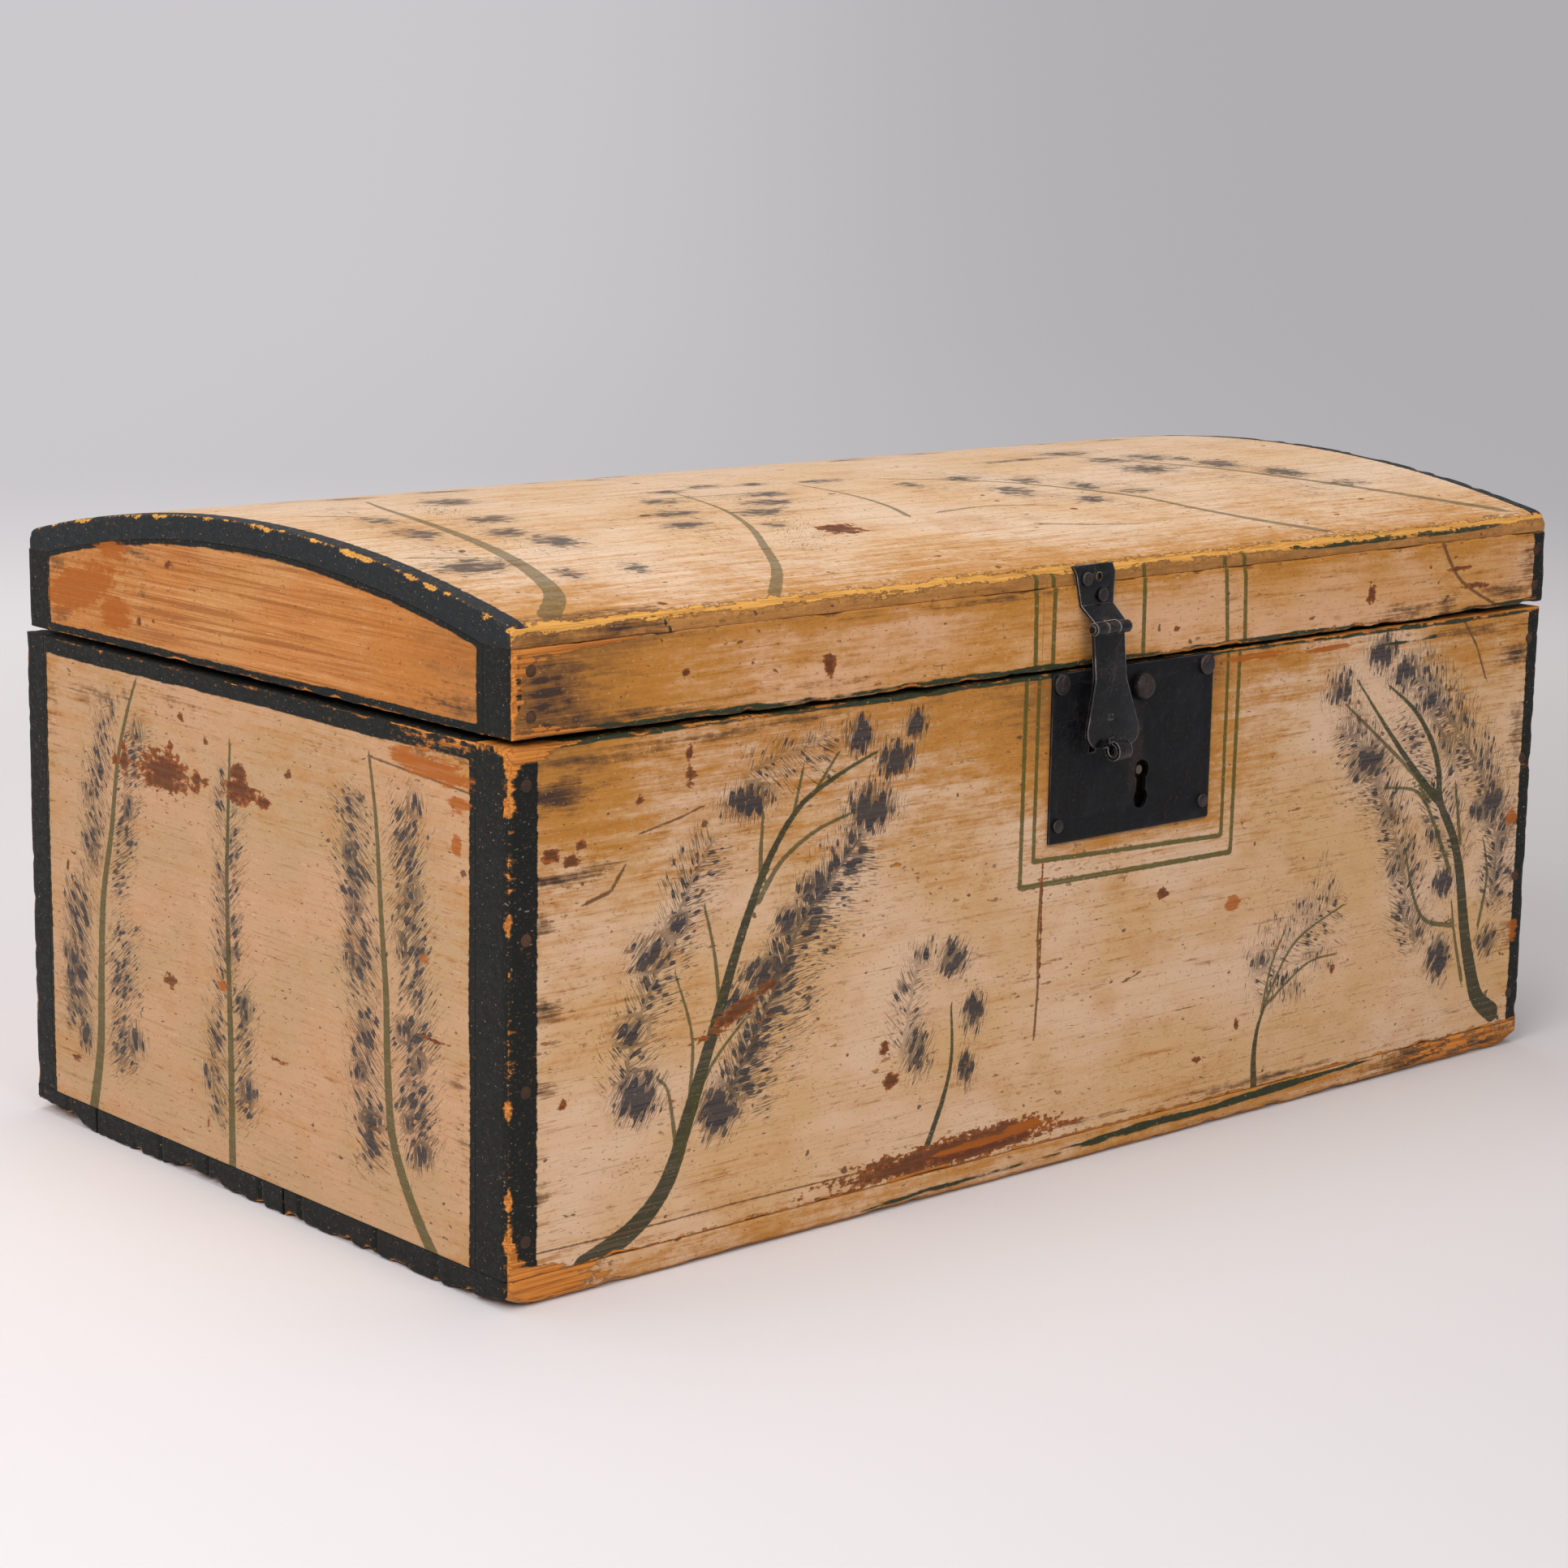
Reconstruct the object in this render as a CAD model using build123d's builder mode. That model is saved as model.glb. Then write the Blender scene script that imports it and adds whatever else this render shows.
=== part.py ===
from build123d import *
import os
from math import asin, atan2, cos, degrees, hypot, sin, sqrt

os.makedirs("parts", exist_ok=True)

# A small dome-topped trunk of painted pine boards, nailed together, with iron fittings.
# Millimetres. X runs along the trunk, the front faces -Y, and +Z is up.
# The origin is on the resting plane, under the middle of the case.

# Case and bottom boards
case_length = 636.0
case_depth = 356.0
case_board_height = 209.4
front_board_thickness = 20.0
back_board_thickness = 16.5
end_board_thickness = 18.0
bottom_thickness = 12.0
bottom_front_width = 153.2
bottom_middle_width = 147.6
bottom_board_gap = 1.5
corner_wear = 3.0
foot_wear = 4.0

# How far a cut runs past what it cuts
overcut = 1.0

# Lid
lid_shift = 2.0
lid_rail_height = 34.6
lid_rail_thickness = 17.8
lid_end_thickness = 18.0
crown_inner_rise = 19.0
crown_thickness = 10.5
top_edge_thickness = 11.5
top_edge_inset = 15.0
top_edge_setback = 1.0
top_nose_radius = 7.0

# Butt hinges, whose leaves lie flat in the gap under the lid
hinge_spread = 190.0
hinge_length = 50.0
hinge_leaf_width = 14.5
hinge_leaf_thickness = 1.2
hinge_leaf_clearance = 0.1
hinge_barrel_radius = 3.0
hinge_barrel_clearance = 0.35
hinge_pin_radius = 1.5
hinge_pin_clearance = 0.05
hinge_knuckle_gap = 0.4
hinge_axis_inset = 1.0
hinge_pin_head_radius = 2.4
hinge_pin_head_length = 1.2
hinge_screw_margin = 8.0
hinge_screw_setback = 9.0
screw_shank_radius = 1.4
screw_head_radius = 2.8
screw_length = 16.0

# Nails
nail_clearance = 0.05
nail_shank_radius = 1.3
nail_head_radius = 2.4
nail_head_thickness = 1.2
case_nail_length = 40.0
case_nail_rows = 4
case_nail_margin = 15.0
bottom_nail_length = 34.0
bottom_nail_offset = 4.5
bottom_nail_columns = 4
bottom_nail_pitch = 140.0
rail_nail_margin = 8.5
top_nail_length = 32.0
top_nail_pitch = 112.0
top_nail_columns = 6
top_nail_sink = 0.15
end_nail_pitch = 72.0
end_nail_columns = 4

# Lock, let into the front board from outside
plate_left = -26.5
plate_width = 102.5
plate_height = 74.7
plate_thickness = 2.0
plate_proud = 0.8
plate_corner = 1.0
plate_drop = 0.2
lock_fit = 0.2
lock_case_left = -14.0
lock_case_width = 74.0
lock_case_drop = 12.7
lock_case_height = 58.5
lock_case_depth = 9.0
lock_case_wall = 1.2
keyhole_x = 31.0
keyhole_bow_drop = 48.2
keyhole_bow_radius = 4.8
keyhole_waist = 6.4
keyhole_foot_radius = 4.6
keyhole_drop = 12.5
drill_pin_radius = 2.0
drill_pin_recess = 1.5
bolt_height = 6.4
bolt_thickness = 2.2
bolt_setback = 1.0
bolt_length = 54.0
bolt_staple_gap = 2.5
bolt_rise = 0.6
bolt_talon_width = 18.0
bolt_talon_drop = 5.5
bolt_talon_notch = 8.0
bolt_slide_clearance = 0.1
guide_width = 3.0
guide_wall = 2.0
guide_first = 4.0
guide_spread = 39.0
spring_thickness = 0.8
spring_width = 2.0
spring_stud_radius = 1.4
spring_eye_wall = 1.0
spring_reach = 22.0
spring_stud_place = 37.0
spring_rise = 3.5
spring_tip_gap = 0.2
cover_rivet_radius = 6.0
cover_rivet_height = 5.0
cover_rivet_round = 3.5
cover_rivet_x = 29.0
cover_rivet_drop = 10.4
cover_rivet_shank = 1.5
cover_rivet_length = 8.0
plate_nail_shank = 1.1
plate_nail_length = 14.0
plate_nail_margin = 4.8
plate_foot_nail_rise = 8.0
large_head_radius = 4.5
small_head_radius = 3.0
iron_head_height = 1.4

# Hasp
hasp_x = 0.5
hasp_standoff = 8.0
hasp_axis_rise = 16.1
hasp_barrel_radius = 2.75
hasp_barrel_length = 21.0
hasp_pin_radius = 1.1
hasp_pin_clearance = 0.05
hasp_pin_head_radius = 2.0
hasp_knuckle_gap = 0.3
hasp_leaf_thickness = 1.5
hasp_leaf_top_width = 25.0
hasp_leaf_overlap = 8.0
hasp_leaf_bend = 9.0
hasp_leaf_bend_left = 11.78
hasp_leaf_bend_right = 7.98
hasp_leaf_miter = 0.6
hasp_leaf_lean = 1.8
hasp_leaf_lean_height = 3.5
hasp_leaf_lean_miter = 0.3
hasp_leaf_skew = 4.0
hasp_nail_length = 12.0

# Where the leaf's back and front meet the barrel, in shares of its radius from its axis
hasp_wrap_back = (0.72, 0.68)
hasp_wrap_front = (0.14, 0.95)

# The leaf's nails and its empty hole, from the hasp's middle and the top of the rail
hasp_upper_nail = (-9.5, 2.6)
hasp_lower_nail = (0.5, -5.0)
hasp_empty_hole = (-1.5, 3.0)
hasp_empty_hole_radius = 1.75
hasp_arm_thickness = 1.8
hasp_arm_width = 19.0
hasp_arm_neck = 22.0
hasp_arm_spread = 32.0
hasp_arm_length = 51.5
hasp_lip_width = 8.0
hasp_lip_radius = 4.4
hasp_lip_drop = 1.5
hasp_lip_root = 1.5
hasp_arm_foot = 8.0
hasp_neck_round = 14.0
hasp_foot_round = 6.5
hasp_seat_clearance = 0.3
staple_drop = 43.5
staple_x = -1.0
staple_bar = 2.0
staple_width = 3.0
staple_eye_height = 8.0
staple_eye_depth = 6.5
staple_clearance = 0.5
staple_peen = 0.6
slot_side_clearance = 0.5
slot_height = 20.0
slot_drop = 2.0

# Levels and places worked out from the sizes above
half_length = case_length / 2
half_depth = case_depth / 2
case_top = bottom_thickness + case_board_height
lid_gap = 2 * hinge_leaf_thickness + hinge_leaf_clearance
lid_bottom = case_top + lid_gap
rail_top = lid_bottom + lid_rail_height
crown_top = rail_top + crown_inner_rise + crown_thickness
rail_inner = half_depth - lid_rail_thickness
front_inner = -half_depth + front_board_thickness
back_inner = half_depth - back_board_thickness
hinge_axis_y = half_depth - hinge_axis_inset
hinge_axis_z = case_top + lid_gap / 2
bottom_front_edge = -half_depth + bottom_front_width
bottom_middle_edge = bottom_front_edge + bottom_board_gap + bottom_middle_width

front_face = Plane(origin=(0, -half_depth, 0), x_dir=(1, 0, 0), z_dir=(0, -1, 0))
back_face = Plane(origin=(0, half_depth, 0), x_dir=(-1, 0, 0), z_dir=(0, 1, 0))
under_face = Plane(origin=(0, 0, 0), x_dir=(1, 0, 0), z_dir=(0, 0, -1))
from_low_corner = (Align.MIN, Align.MIN, Align.MIN)
downwards = (Align.CENTER, Align.CENTER, Align.MAX)
upwards = (Align.CENTER, Align.CENTER, Align.MIN)


def keep(piece, label):
    """Name a finished piece and write it."""
    piece.label = label
    export_step(piece, f"parts/{label}.step")


def nails(plane, spots, length, shank, head, head_height, grow=0.0):
    """Nails driven down into a plane with their heads' tops at the spots.

    With grow, the holes that such nails leave.
    """
    with BuildPart(plane) as group:
        with Locations(*spots):
            Cylinder(head + grow, head_height + grow, align=downwards)
            Cylinder(shank + grow, length + grow, align=downwards)
    return group.part


def screws(plane, spots, head_depth, grow=0.0):
    """Countersunk screws driven down into a plane, heads flush with it at the spots."""
    with BuildPart(plane) as group:
        with Locations(*spots):
            Cone(screw_shank_radius + grow, screw_head_radius + grow, head_depth, align=downwards)
            Cylinder(screw_shank_radius + grow, screw_length + grow, align=downwards)
    return group.part


def rod_along_x(x, y, z, radius, length):
    """A round bar along X, centred on a point."""
    with BuildPart(Plane(origin=(x, y, z), x_dir=(0, 1, 0), z_dir=(1, 0, 0))) as rod:
        Cylinder(radius, length)
    return rod.part


# Fastener places
case_nail_x = half_length - end_board_thickness / 2
case_nail_pitch = (case_board_height - 2 * case_nail_margin) / (case_nail_rows - 1)
case_nail_spots = [
    (x, bottom_thickness + case_nail_margin + row * case_nail_pitch)
    for x in (-case_nail_x, case_nail_x)
    for row in range(case_nail_rows)
]
wood_nail = (nail_shank_radius, nail_head_radius, nail_head_thickness)
front_nails = nails(front_face, case_nail_spots, case_nail_length, *wood_nail)
back_nails = nails(back_face, case_nail_spots, case_nail_length, *wood_nail)
front_nail_holes = nails(front_face, case_nail_spots, case_nail_length, *wood_nail, nail_clearance)
back_nail_holes = nails(back_face, case_nail_spots, case_nail_length, *wood_nail, nail_clearance)

# Each bottom board is held by two nails at each end, and the outer boards also along their length
bottom_nail_x = case_nail_x - bottom_nail_offset
bottom_back_edge = bottom_middle_edge + bottom_board_gap
bottom_quarters = (
    -half_depth + bottom_front_width / 3,
    -half_depth + bottom_front_width * 2 / 3,
    bottom_middle_edge - bottom_middle_width * 3 / 4,
    bottom_middle_edge - bottom_middle_width / 4,
    (bottom_back_edge + back_inner) / 2,
)
end_row = [(x, -y) for x in (-bottom_nail_x, bottom_nail_x) for y in bottom_quarters]
long_rows = [
    ((column - (bottom_nail_columns - 1) / 2) * bottom_nail_pitch, -y)
    for column in range(bottom_nail_columns)
    for y in ((front_inner - half_depth) / 2, (back_inner + half_depth) / 2)
]
bottom_nail_spots = end_row + long_rows
bottom_nail_group = nails(under_face, bottom_nail_spots, bottom_nail_length, *wood_nail)
bottom_nail_holes = nails(
    under_face, bottom_nail_spots, bottom_nail_length, *wood_nail, nail_clearance
)

# Lid rails are nailed into the edges of the arched ends
rail_nail_x = half_length - lid_end_thickness / 2
rail_nail_spots = [
    (x, z)
    for x in (-rail_nail_x, rail_nail_x)
    for z in (lid_bottom + rail_nail_margin, rail_top - rail_nail_margin)
]
rail_spots_front = [(x + lid_shift, z) for x, z in rail_nail_spots]
rail_spots_back = [(x - lid_shift, z) for x, z in rail_nail_spots]
front_rail_nails = nails(front_face, rail_spots_front, case_nail_length, *wood_nail)
back_rail_nails = nails(back_face, rail_spots_back, case_nail_length, *wood_nail)
front_rail_holes = nails(
    front_face, rail_spots_front, case_nail_length, *wood_nail, nail_clearance
)
back_rail_holes = nails(back_face, rail_spots_back, case_nail_length, *wood_nail, nail_clearance)

# The crown is an arc through its top and the shoulders above the rails
shoulder_y = half_depth - top_edge_inset
shoulder_drop = crown_thickness + crown_inner_rise - top_edge_thickness
crown_radius = (shoulder_y**2 + shoulder_drop**2) / (2 * shoulder_drop)


def crown_z(y):
    """Height of the outside of the crown above the resting plane."""
    return crown_top - crown_radius + sqrt(crown_radius**2 - y**2)


# The top board is nailed down into both rails and both ends
top_row_y = half_depth - lid_rail_thickness / 2
top_spots = [
    ((column - (top_nail_columns - 1) / 2) * top_nail_pitch + lid_shift, y)
    for column in range(top_nail_columns)
    for y in (-top_row_y, top_row_y)
]
top_spots += [
    (x + lid_shift, (column - (end_nail_columns - 1) / 2) * end_nail_pitch)
    for x in (-rail_nail_x, rail_nail_x)
    for column in range(end_nail_columns)
]
top_nail_spots = [
    (x, y, crown_z(abs(y) + nail_head_radius) - top_nail_sink) for x, y in top_spots
]
crown_open = crown_top - crown_z(half_depth)
top_nail_group = nails(Plane.XY, top_nail_spots, top_nail_length, *wood_nail)
top_nail_holes = nails(
    Plane.XY,
    [(x, y, z + crown_open) for x, y, z in top_nail_spots],
    top_nail_length + crown_open,
    nail_shank_radius,
    nail_head_radius,
    nail_head_thickness + crown_open,
    nail_clearance,
)

# Hinge places, the round notches for their barrels, and their screws
hinge_places = {"left": -hinge_spread, "right": hinge_spread}
barrel_notch_radius = hinge_barrel_radius + hinge_barrel_clearance
barrel_notch_length = hinge_length + 2 * (hinge_pin_head_length + hinge_knuckle_gap)
barrel_notches = [
    rod_along_x(x, hinge_axis_y, hinge_axis_z, barrel_notch_radius, barrel_notch_length)
    for x in hinge_places.values()
]
hinge_screw_pitch = hinge_length / 2 - hinge_screw_margin
hinge_screw_xs = [
    x + step * hinge_screw_pitch for x in hinge_places.values() for step in (-1, 0, 1)
]
case_leaf_face = Plane.XY.offset(case_top + hinge_leaf_thickness)
lid_leaf_face = Plane(
    origin=(0, 0, lid_bottom - hinge_leaf_thickness), x_dir=(1, 0, 0), z_dir=(0, 0, -1)
)
screw_y = hinge_axis_y - hinge_screw_setback
case_screw_spots = [(x, screw_y) for x in hinge_screw_xs]
lid_screw_spots = [(x, -screw_y) for x in hinge_screw_xs]
case_screw_group = screws(case_leaf_face, case_screw_spots, hinge_leaf_thickness)
lid_screw_group = screws(lid_leaf_face, lid_screw_spots, hinge_leaf_thickness)
case_screw_holes = screws(case_leaf_face, case_screw_spots, hinge_leaf_thickness, nail_clearance)
lid_screw_holes = screws(lid_leaf_face, lid_screw_spots, hinge_leaf_thickness, nail_clearance)

# Lock places, in X and Z on the front face, with depths below that face
plate_top = case_top - plate_drop
plate_bottom = plate_top - plate_height
plate_right = plate_left + plate_width
plate_middle = ((plate_left + plate_right) / 2, (plate_top + plate_bottom) / 2)
plate_back_depth = plate_thickness - plate_proud
lock_floor_depth = plate_back_depth + lock_case_depth
cavity_floor_depth = lock_floor_depth - lock_case_wall
lock_case_middle = (
    lock_case_left + lock_case_width / 2,
    plate_top - lock_case_drop - lock_case_height / 2,
)
keyhole_bow_z = plate_top - keyhole_bow_drop
hasp_axis_z = lid_bottom + hasp_axis_rise
slot_z = hasp_axis_z - staple_drop - slot_drop
bolt_z = hasp_axis_z - staple_drop + bolt_rise
bolt_top_z = bolt_z + bolt_height / 2
bolt_front_depth = plate_back_depth + bolt_setback
bolt_tip_x = staple_x + staple_width / 2 + bolt_staple_gap
large_nail_spots = [
    (x, plate_top - plate_nail_margin)
    for x in (plate_left + plate_nail_margin, plate_right - plate_nail_margin)
]
small_nail_spots = [
    (x, plate_bottom + plate_foot_nail_rise)
    for x in (plate_left + plate_nail_margin, plate_right - plate_nail_margin)
]
cover_rivet_spot = (cover_rivet_x, plate_top - cover_rivet_drop)
stud_spot = (bolt_tip_x + spring_stud_place, bolt_top_z + spring_rise)
plate_face = front_face.offset(plate_proud)
cavity_floor = front_face.offset(-cavity_floor_depth)

# Hasp places: the arm hangs tilted outwards, so that the tip of its staple clears the plate
hasp_axis_y = -half_depth - hasp_standoff
leaf_face = front_face.offset(hasp_leaf_thickness)
hasp_nail_spots = [(hasp_x + x, rail_top + z) for x, z in (hasp_upper_nail, hasp_lower_nail)]
empty_hole_spot = (hasp_x + hasp_empty_hole[0], rail_top + hasp_empty_hole[1])
staple_depth = hasp_barrel_radius + staple_eye_depth + staple_bar
staple_reach = hypot(staple_drop, staple_depth)
staple_angle = atan2(staple_depth, staple_drop)
rest_tilt = staple_angle + asin(
    (plate_proud + staple_clearance - hasp_standoff) / staple_reach
)
lip_reach = hasp_arm_length + hasp_lip_drop
seat_reach = hypot(lip_reach, hasp_barrel_radius)
seat_tilt = atan2(hasp_barrel_radius, lip_reach) + asin(
    (plate_proud + hasp_seat_clearance - hasp_standoff) / seat_reach
)
arm_plane = Plane(
    origin=(hasp_x, hasp_axis_y, hasp_axis_z),
    x_dir=(1, 0, 0),
    z_dir=(0, -cos(rest_tilt), sin(rest_tilt)),
)
arm_side_plane = Plane(
    origin=(hasp_x, hasp_axis_y, hasp_axis_z),
    x_dir=(0, sin(rest_tilt), cos(rest_tilt)),
    z_dir=(1, 0, 0),
)
print("hasp: seated at", round(degrees(seat_tilt - rest_tilt), 2), "degrees from rest")


def iron_nails(plane, spots, length, shank, head, grow=0.0):
    """Nails whose hammered heads stand proud of a plane; with grow, their holes."""
    lifted = [(x, z, iron_head_height) for x, z in spots]
    if grow:
        return nails(plane, lifted, iron_head_height + length, shank, shank, overcut, grow)
    return nails(plane, lifted, iron_head_height + length, shank, head, iron_head_height)


plate_nail_reach = plate_thickness + plate_nail_length
plate_nail_holes = iron_nails(
    plate_face,
    large_nail_spots + small_nail_spots,
    plate_nail_reach,
    plate_nail_shank,
    large_head_radius,
    nail_clearance,
)
cover_rivet_hole = iron_nails(
    plate_face,
    [cover_rivet_spot],
    cover_rivet_length,
    cover_rivet_shank,
    cover_rivet_radius,
    nail_clearance,
)
hasp_nail_reach = hasp_leaf_thickness + hasp_nail_length
hasp_nail_holes = iron_nails(
    leaf_face,
    hasp_nail_spots,
    hasp_nail_reach,
    plate_nail_shank,
    small_head_radius,
    nail_clearance,
)


def board(low, size):
    """A plain board from its lowest corner and its size."""
    with BuildPart() as plank:
        with Locations(low):
            Box(*size, align=from_low_corner)
    return plank.part


# Case boards: the front and back cover the edges of the two ends
with BuildPart() as case_front_board:
    add(
        board(
            (-half_length, -half_depth, bottom_thickness),
            (case_length, front_board_thickness, case_board_height),
        )
    )
    fillet(case_front_board.edges().filter_by(Axis.Z).group_by(Axis.Y)[0], corner_wear)
    with BuildSketch(front_face):
        with Locations(plate_middle):
            Rectangle(plate_width + 2 * lock_fit, plate_height + 2 * lock_fit + plate_drop)
    extrude(amount=-plate_back_depth, mode=Mode.SUBTRACT)
    with BuildSketch(front_face):
        with Locations(lock_case_middle):
            Rectangle(lock_case_width + 2 * lock_fit, lock_case_height + 2 * lock_fit)
    extrude(amount=-(lock_floor_depth + lock_fit), mode=Mode.SUBTRACT)
    for holes in (front_nail_holes, bottom_nail_holes, plate_nail_holes, cover_rivet_hole):
        add(holes, mode=Mode.SUBTRACT)
keep(case_front_board.part, "case_front_board")

with BuildPart() as case_back_board:
    add(
        board(
            (-half_length, back_inner, bottom_thickness),
            (case_length, back_board_thickness, case_board_height),
        )
    )
    fillet(case_back_board.edges().filter_by(Axis.Z).group_by(Axis.Y)[-1], corner_wear)
    for holes in (back_nail_holes, bottom_nail_holes, case_screw_holes, *barrel_notches):
        add(holes, mode=Mode.SUBTRACT)
keep(case_back_board.part, "case_back_board")

for side, low_x in (("left", -half_length), ("right", half_length - end_board_thickness)):
    with BuildPart() as case_end:
        add(
            board(
                (low_x, front_inner, bottom_thickness),
                (end_board_thickness, back_inner - front_inner, case_board_height),
            )
        )
        for holes in (front_nail_holes, back_nail_holes, bottom_nail_holes):
            add(holes, mode=Mode.SUBTRACT)
    keep(case_end.part, f"case_{side}_end")

# Bottom: three boards nailed up into the case, their outer edges worn round
with BuildPart() as bottom_front_board:
    add(
        board(
            (-half_length, -half_depth, 0),
            (case_length, bottom_front_width, bottom_thickness),
        )
    )
    fillet(bottom_front_board.edges().filter_by(Axis.Z).group_by(Axis.Y)[0], corner_wear)
    fillet(
        bottom_front_board.edges().group_by(Axis.Z)[0].filter_by(Axis.X).sort_by(Axis.Y)[0],
        foot_wear,
    )
    add(bottom_nail_holes, mode=Mode.SUBTRACT)
keep(bottom_front_board.part, "bottom_front_board")

with BuildPart() as bottom_middle_board:
    add(
        board(
            (-half_length, bottom_front_edge + bottom_board_gap, 0),
            (case_length, bottom_middle_width, bottom_thickness),
        )
    )
    add(bottom_nail_holes, mode=Mode.SUBTRACT)
keep(bottom_middle_board.part, "bottom_middle_board")

with BuildPart() as bottom_back_board:
    add(
        board(
            (-half_length, bottom_back_edge, 0),
            (case_length, half_depth - bottom_back_edge, bottom_thickness),
        )
    )
    fillet(bottom_back_board.edges().filter_by(Axis.Z).group_by(Axis.Y)[-1], corner_wear)
    fillet(
        bottom_back_board.edges().group_by(Axis.Z)[0].filter_by(Axis.X).sort_by(Axis.Y)[-1],
        foot_wear,
    )
    add(bottom_nail_holes, mode=Mode.SUBTRACT)
keep(bottom_back_board.part, "bottom_back_board")

with BuildPart() as case_nails:
    add(front_nails)
    add(back_nails)
keep(case_nails.part, "case_nails")
keep(bottom_nail_group, "bottom_nails")

# Lid rails
with BuildPart() as lid_front_rail:
    add(
        board(
            (-half_length + lid_shift, -half_depth, lid_bottom),
            (case_length, lid_rail_thickness, lid_rail_height),
        )
    )
    fillet(lid_front_rail.edges().filter_by(Axis.Z).group_by(Axis.Y)[0], corner_wear)
    for holes in (front_rail_holes, top_nail_holes, hasp_nail_holes):
        add(holes, mode=Mode.SUBTRACT)
keep(lid_front_rail.part, "lid_front_rail")

with BuildPart() as lid_back_rail:
    add(
        board(
            (-half_length + lid_shift, rail_inner, lid_bottom),
            (case_length, lid_rail_thickness, lid_rail_height),
        )
    )
    fillet(lid_back_rail.edges().filter_by(Axis.Z).group_by(Axis.Y)[-1], corner_wear)
    for holes in (back_rail_holes, top_nail_holes, lid_screw_holes, *barrel_notches):
        add(holes, mode=Mode.SUBTRACT)
keep(lid_back_rail.part, "lid_back_rail")

# Arched lid ends between the rails
for side, low_x in (("left", -half_length), ("right", half_length - lid_end_thickness)):
    with BuildPart() as lid_end:
        with BuildSketch(Plane.YZ.offset(low_x + lid_shift)):
            with BuildLine():
                Polyline(
                    (-rail_inner, rail_top),
                    (-rail_inner, lid_bottom),
                    (rail_inner, lid_bottom),
                    (rail_inner, rail_top),
                )
                ThreePointArc(
                    (rail_inner, rail_top),
                    (0, rail_top + crown_inner_rise),
                    (-rail_inner, rail_top),
                )
            make_face()
        extrude(amount=lid_end_thickness)
        for holes in (front_rail_holes, back_rail_holes, top_nail_holes):
            add(holes, mode=Mode.SUBTRACT)
    keep(lid_end.part, f"lid_{side}_end")

# Domed top board, flat where it lies on the rails and hollow between them
top_edge_y = half_depth - top_edge_setback
with BuildPart() as lid_top_board:
    with BuildSketch(Plane.YZ.offset(-half_length + lid_shift)) as crown:
        with BuildLine():
            Polyline(
                (-top_edge_y, crown_z(top_edge_y)),
                (-top_edge_y, rail_top),
                (-rail_inner, rail_top),
            )
            ThreePointArc(
                (-rail_inner, rail_top),
                (0, rail_top + crown_inner_rise),
                (rail_inner, rail_top),
            )
            Polyline(
                (rail_inner, rail_top),
                (top_edge_y, rail_top),
                (top_edge_y, crown_z(top_edge_y)),
            )
            ThreePointArc(
                (top_edge_y, crown_z(top_edge_y)),
                (0, crown_top),
                (-top_edge_y, crown_z(top_edge_y)),
            )
        make_face()
        fillet(crown.vertices().group_by(Axis.Y)[-1], top_nose_radius)
    extrude(amount=case_length)
    for holes in (top_nail_holes, hasp_nail_holes):
        add(holes, mode=Mode.SUBTRACT)
keep(lid_top_board.part, "lid_top_board")

with BuildPart() as lid_rail_nails:
    add(front_rail_nails)
    add(back_rail_nails)
keep(lid_rail_nails.part, "lid_rail_nails")
keep(top_nail_group, "lid_top_nails")

# Hinges: the case leaf has the outer knuckles, the lid leaf the middle one
knuckle_length = (hinge_length - 2 * hinge_knuckle_gap) / 3
knuckle_step = knuckle_length + hinge_knuckle_gap
knuckle_room = knuckle_length + 2 * hinge_knuckle_gap


def hinge_rod(x, radius, length):
    """A round bar on the hinges' axis, centred at x."""
    return rod_along_x(x, hinge_axis_y, hinge_axis_z, radius, length)


def hinge_leaf(x, low_z, own_knuckles, other_knuckles, screw_holes):
    """A flat leaf with its knuckles rolled round the pin, clear of the other leaf's."""
    with BuildPart() as leaf:
        add(
            board(
                (x - hinge_length / 2, hinge_axis_y - hinge_leaf_width, low_z),
                (hinge_length, hinge_leaf_width, hinge_leaf_thickness),
            )
        )
        for step in other_knuckles:
            room = hinge_rod(x + step * knuckle_step, barrel_notch_radius, knuckle_room)
            add(room, mode=Mode.SUBTRACT)
        for step in own_knuckles:
            add(hinge_rod(x + step * knuckle_step, hinge_barrel_radius, knuckle_length))
        bore = hinge_rod(x, hinge_pin_radius + hinge_pin_clearance, 2 * hinge_length)
        add(bore, mode=Mode.SUBTRACT)
        add(screw_holes, mode=Mode.SUBTRACT)
    return leaf.part


for side, x in hinge_places.items():
    case_leaf = hinge_leaf(x, case_top, (-1, 1), (0,), case_screw_holes)
    keep(case_leaf, f"{side}_hinge_case_leaf")
    lid_leaf = hinge_leaf(
        x, lid_bottom - hinge_leaf_thickness, (0,), (-1, 1), lid_screw_holes
    )
    keep(lid_leaf, f"{side}_hinge_lid_leaf")
    with BuildPart() as hinge_pin:
        add(hinge_rod(x, hinge_pin_radius, hinge_length))
        head_place = (hinge_length + hinge_pin_head_length) / 2
        for end in (-1, 1):
            add(hinge_rod(x + end * head_place, hinge_pin_head_radius, hinge_pin_head_length))
    keep(hinge_pin.part, f"{side}_hinge_pin")
keep(case_screw_group, "hinge_case_screws")
keep(lid_screw_group, "hinge_lid_screws")

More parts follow.
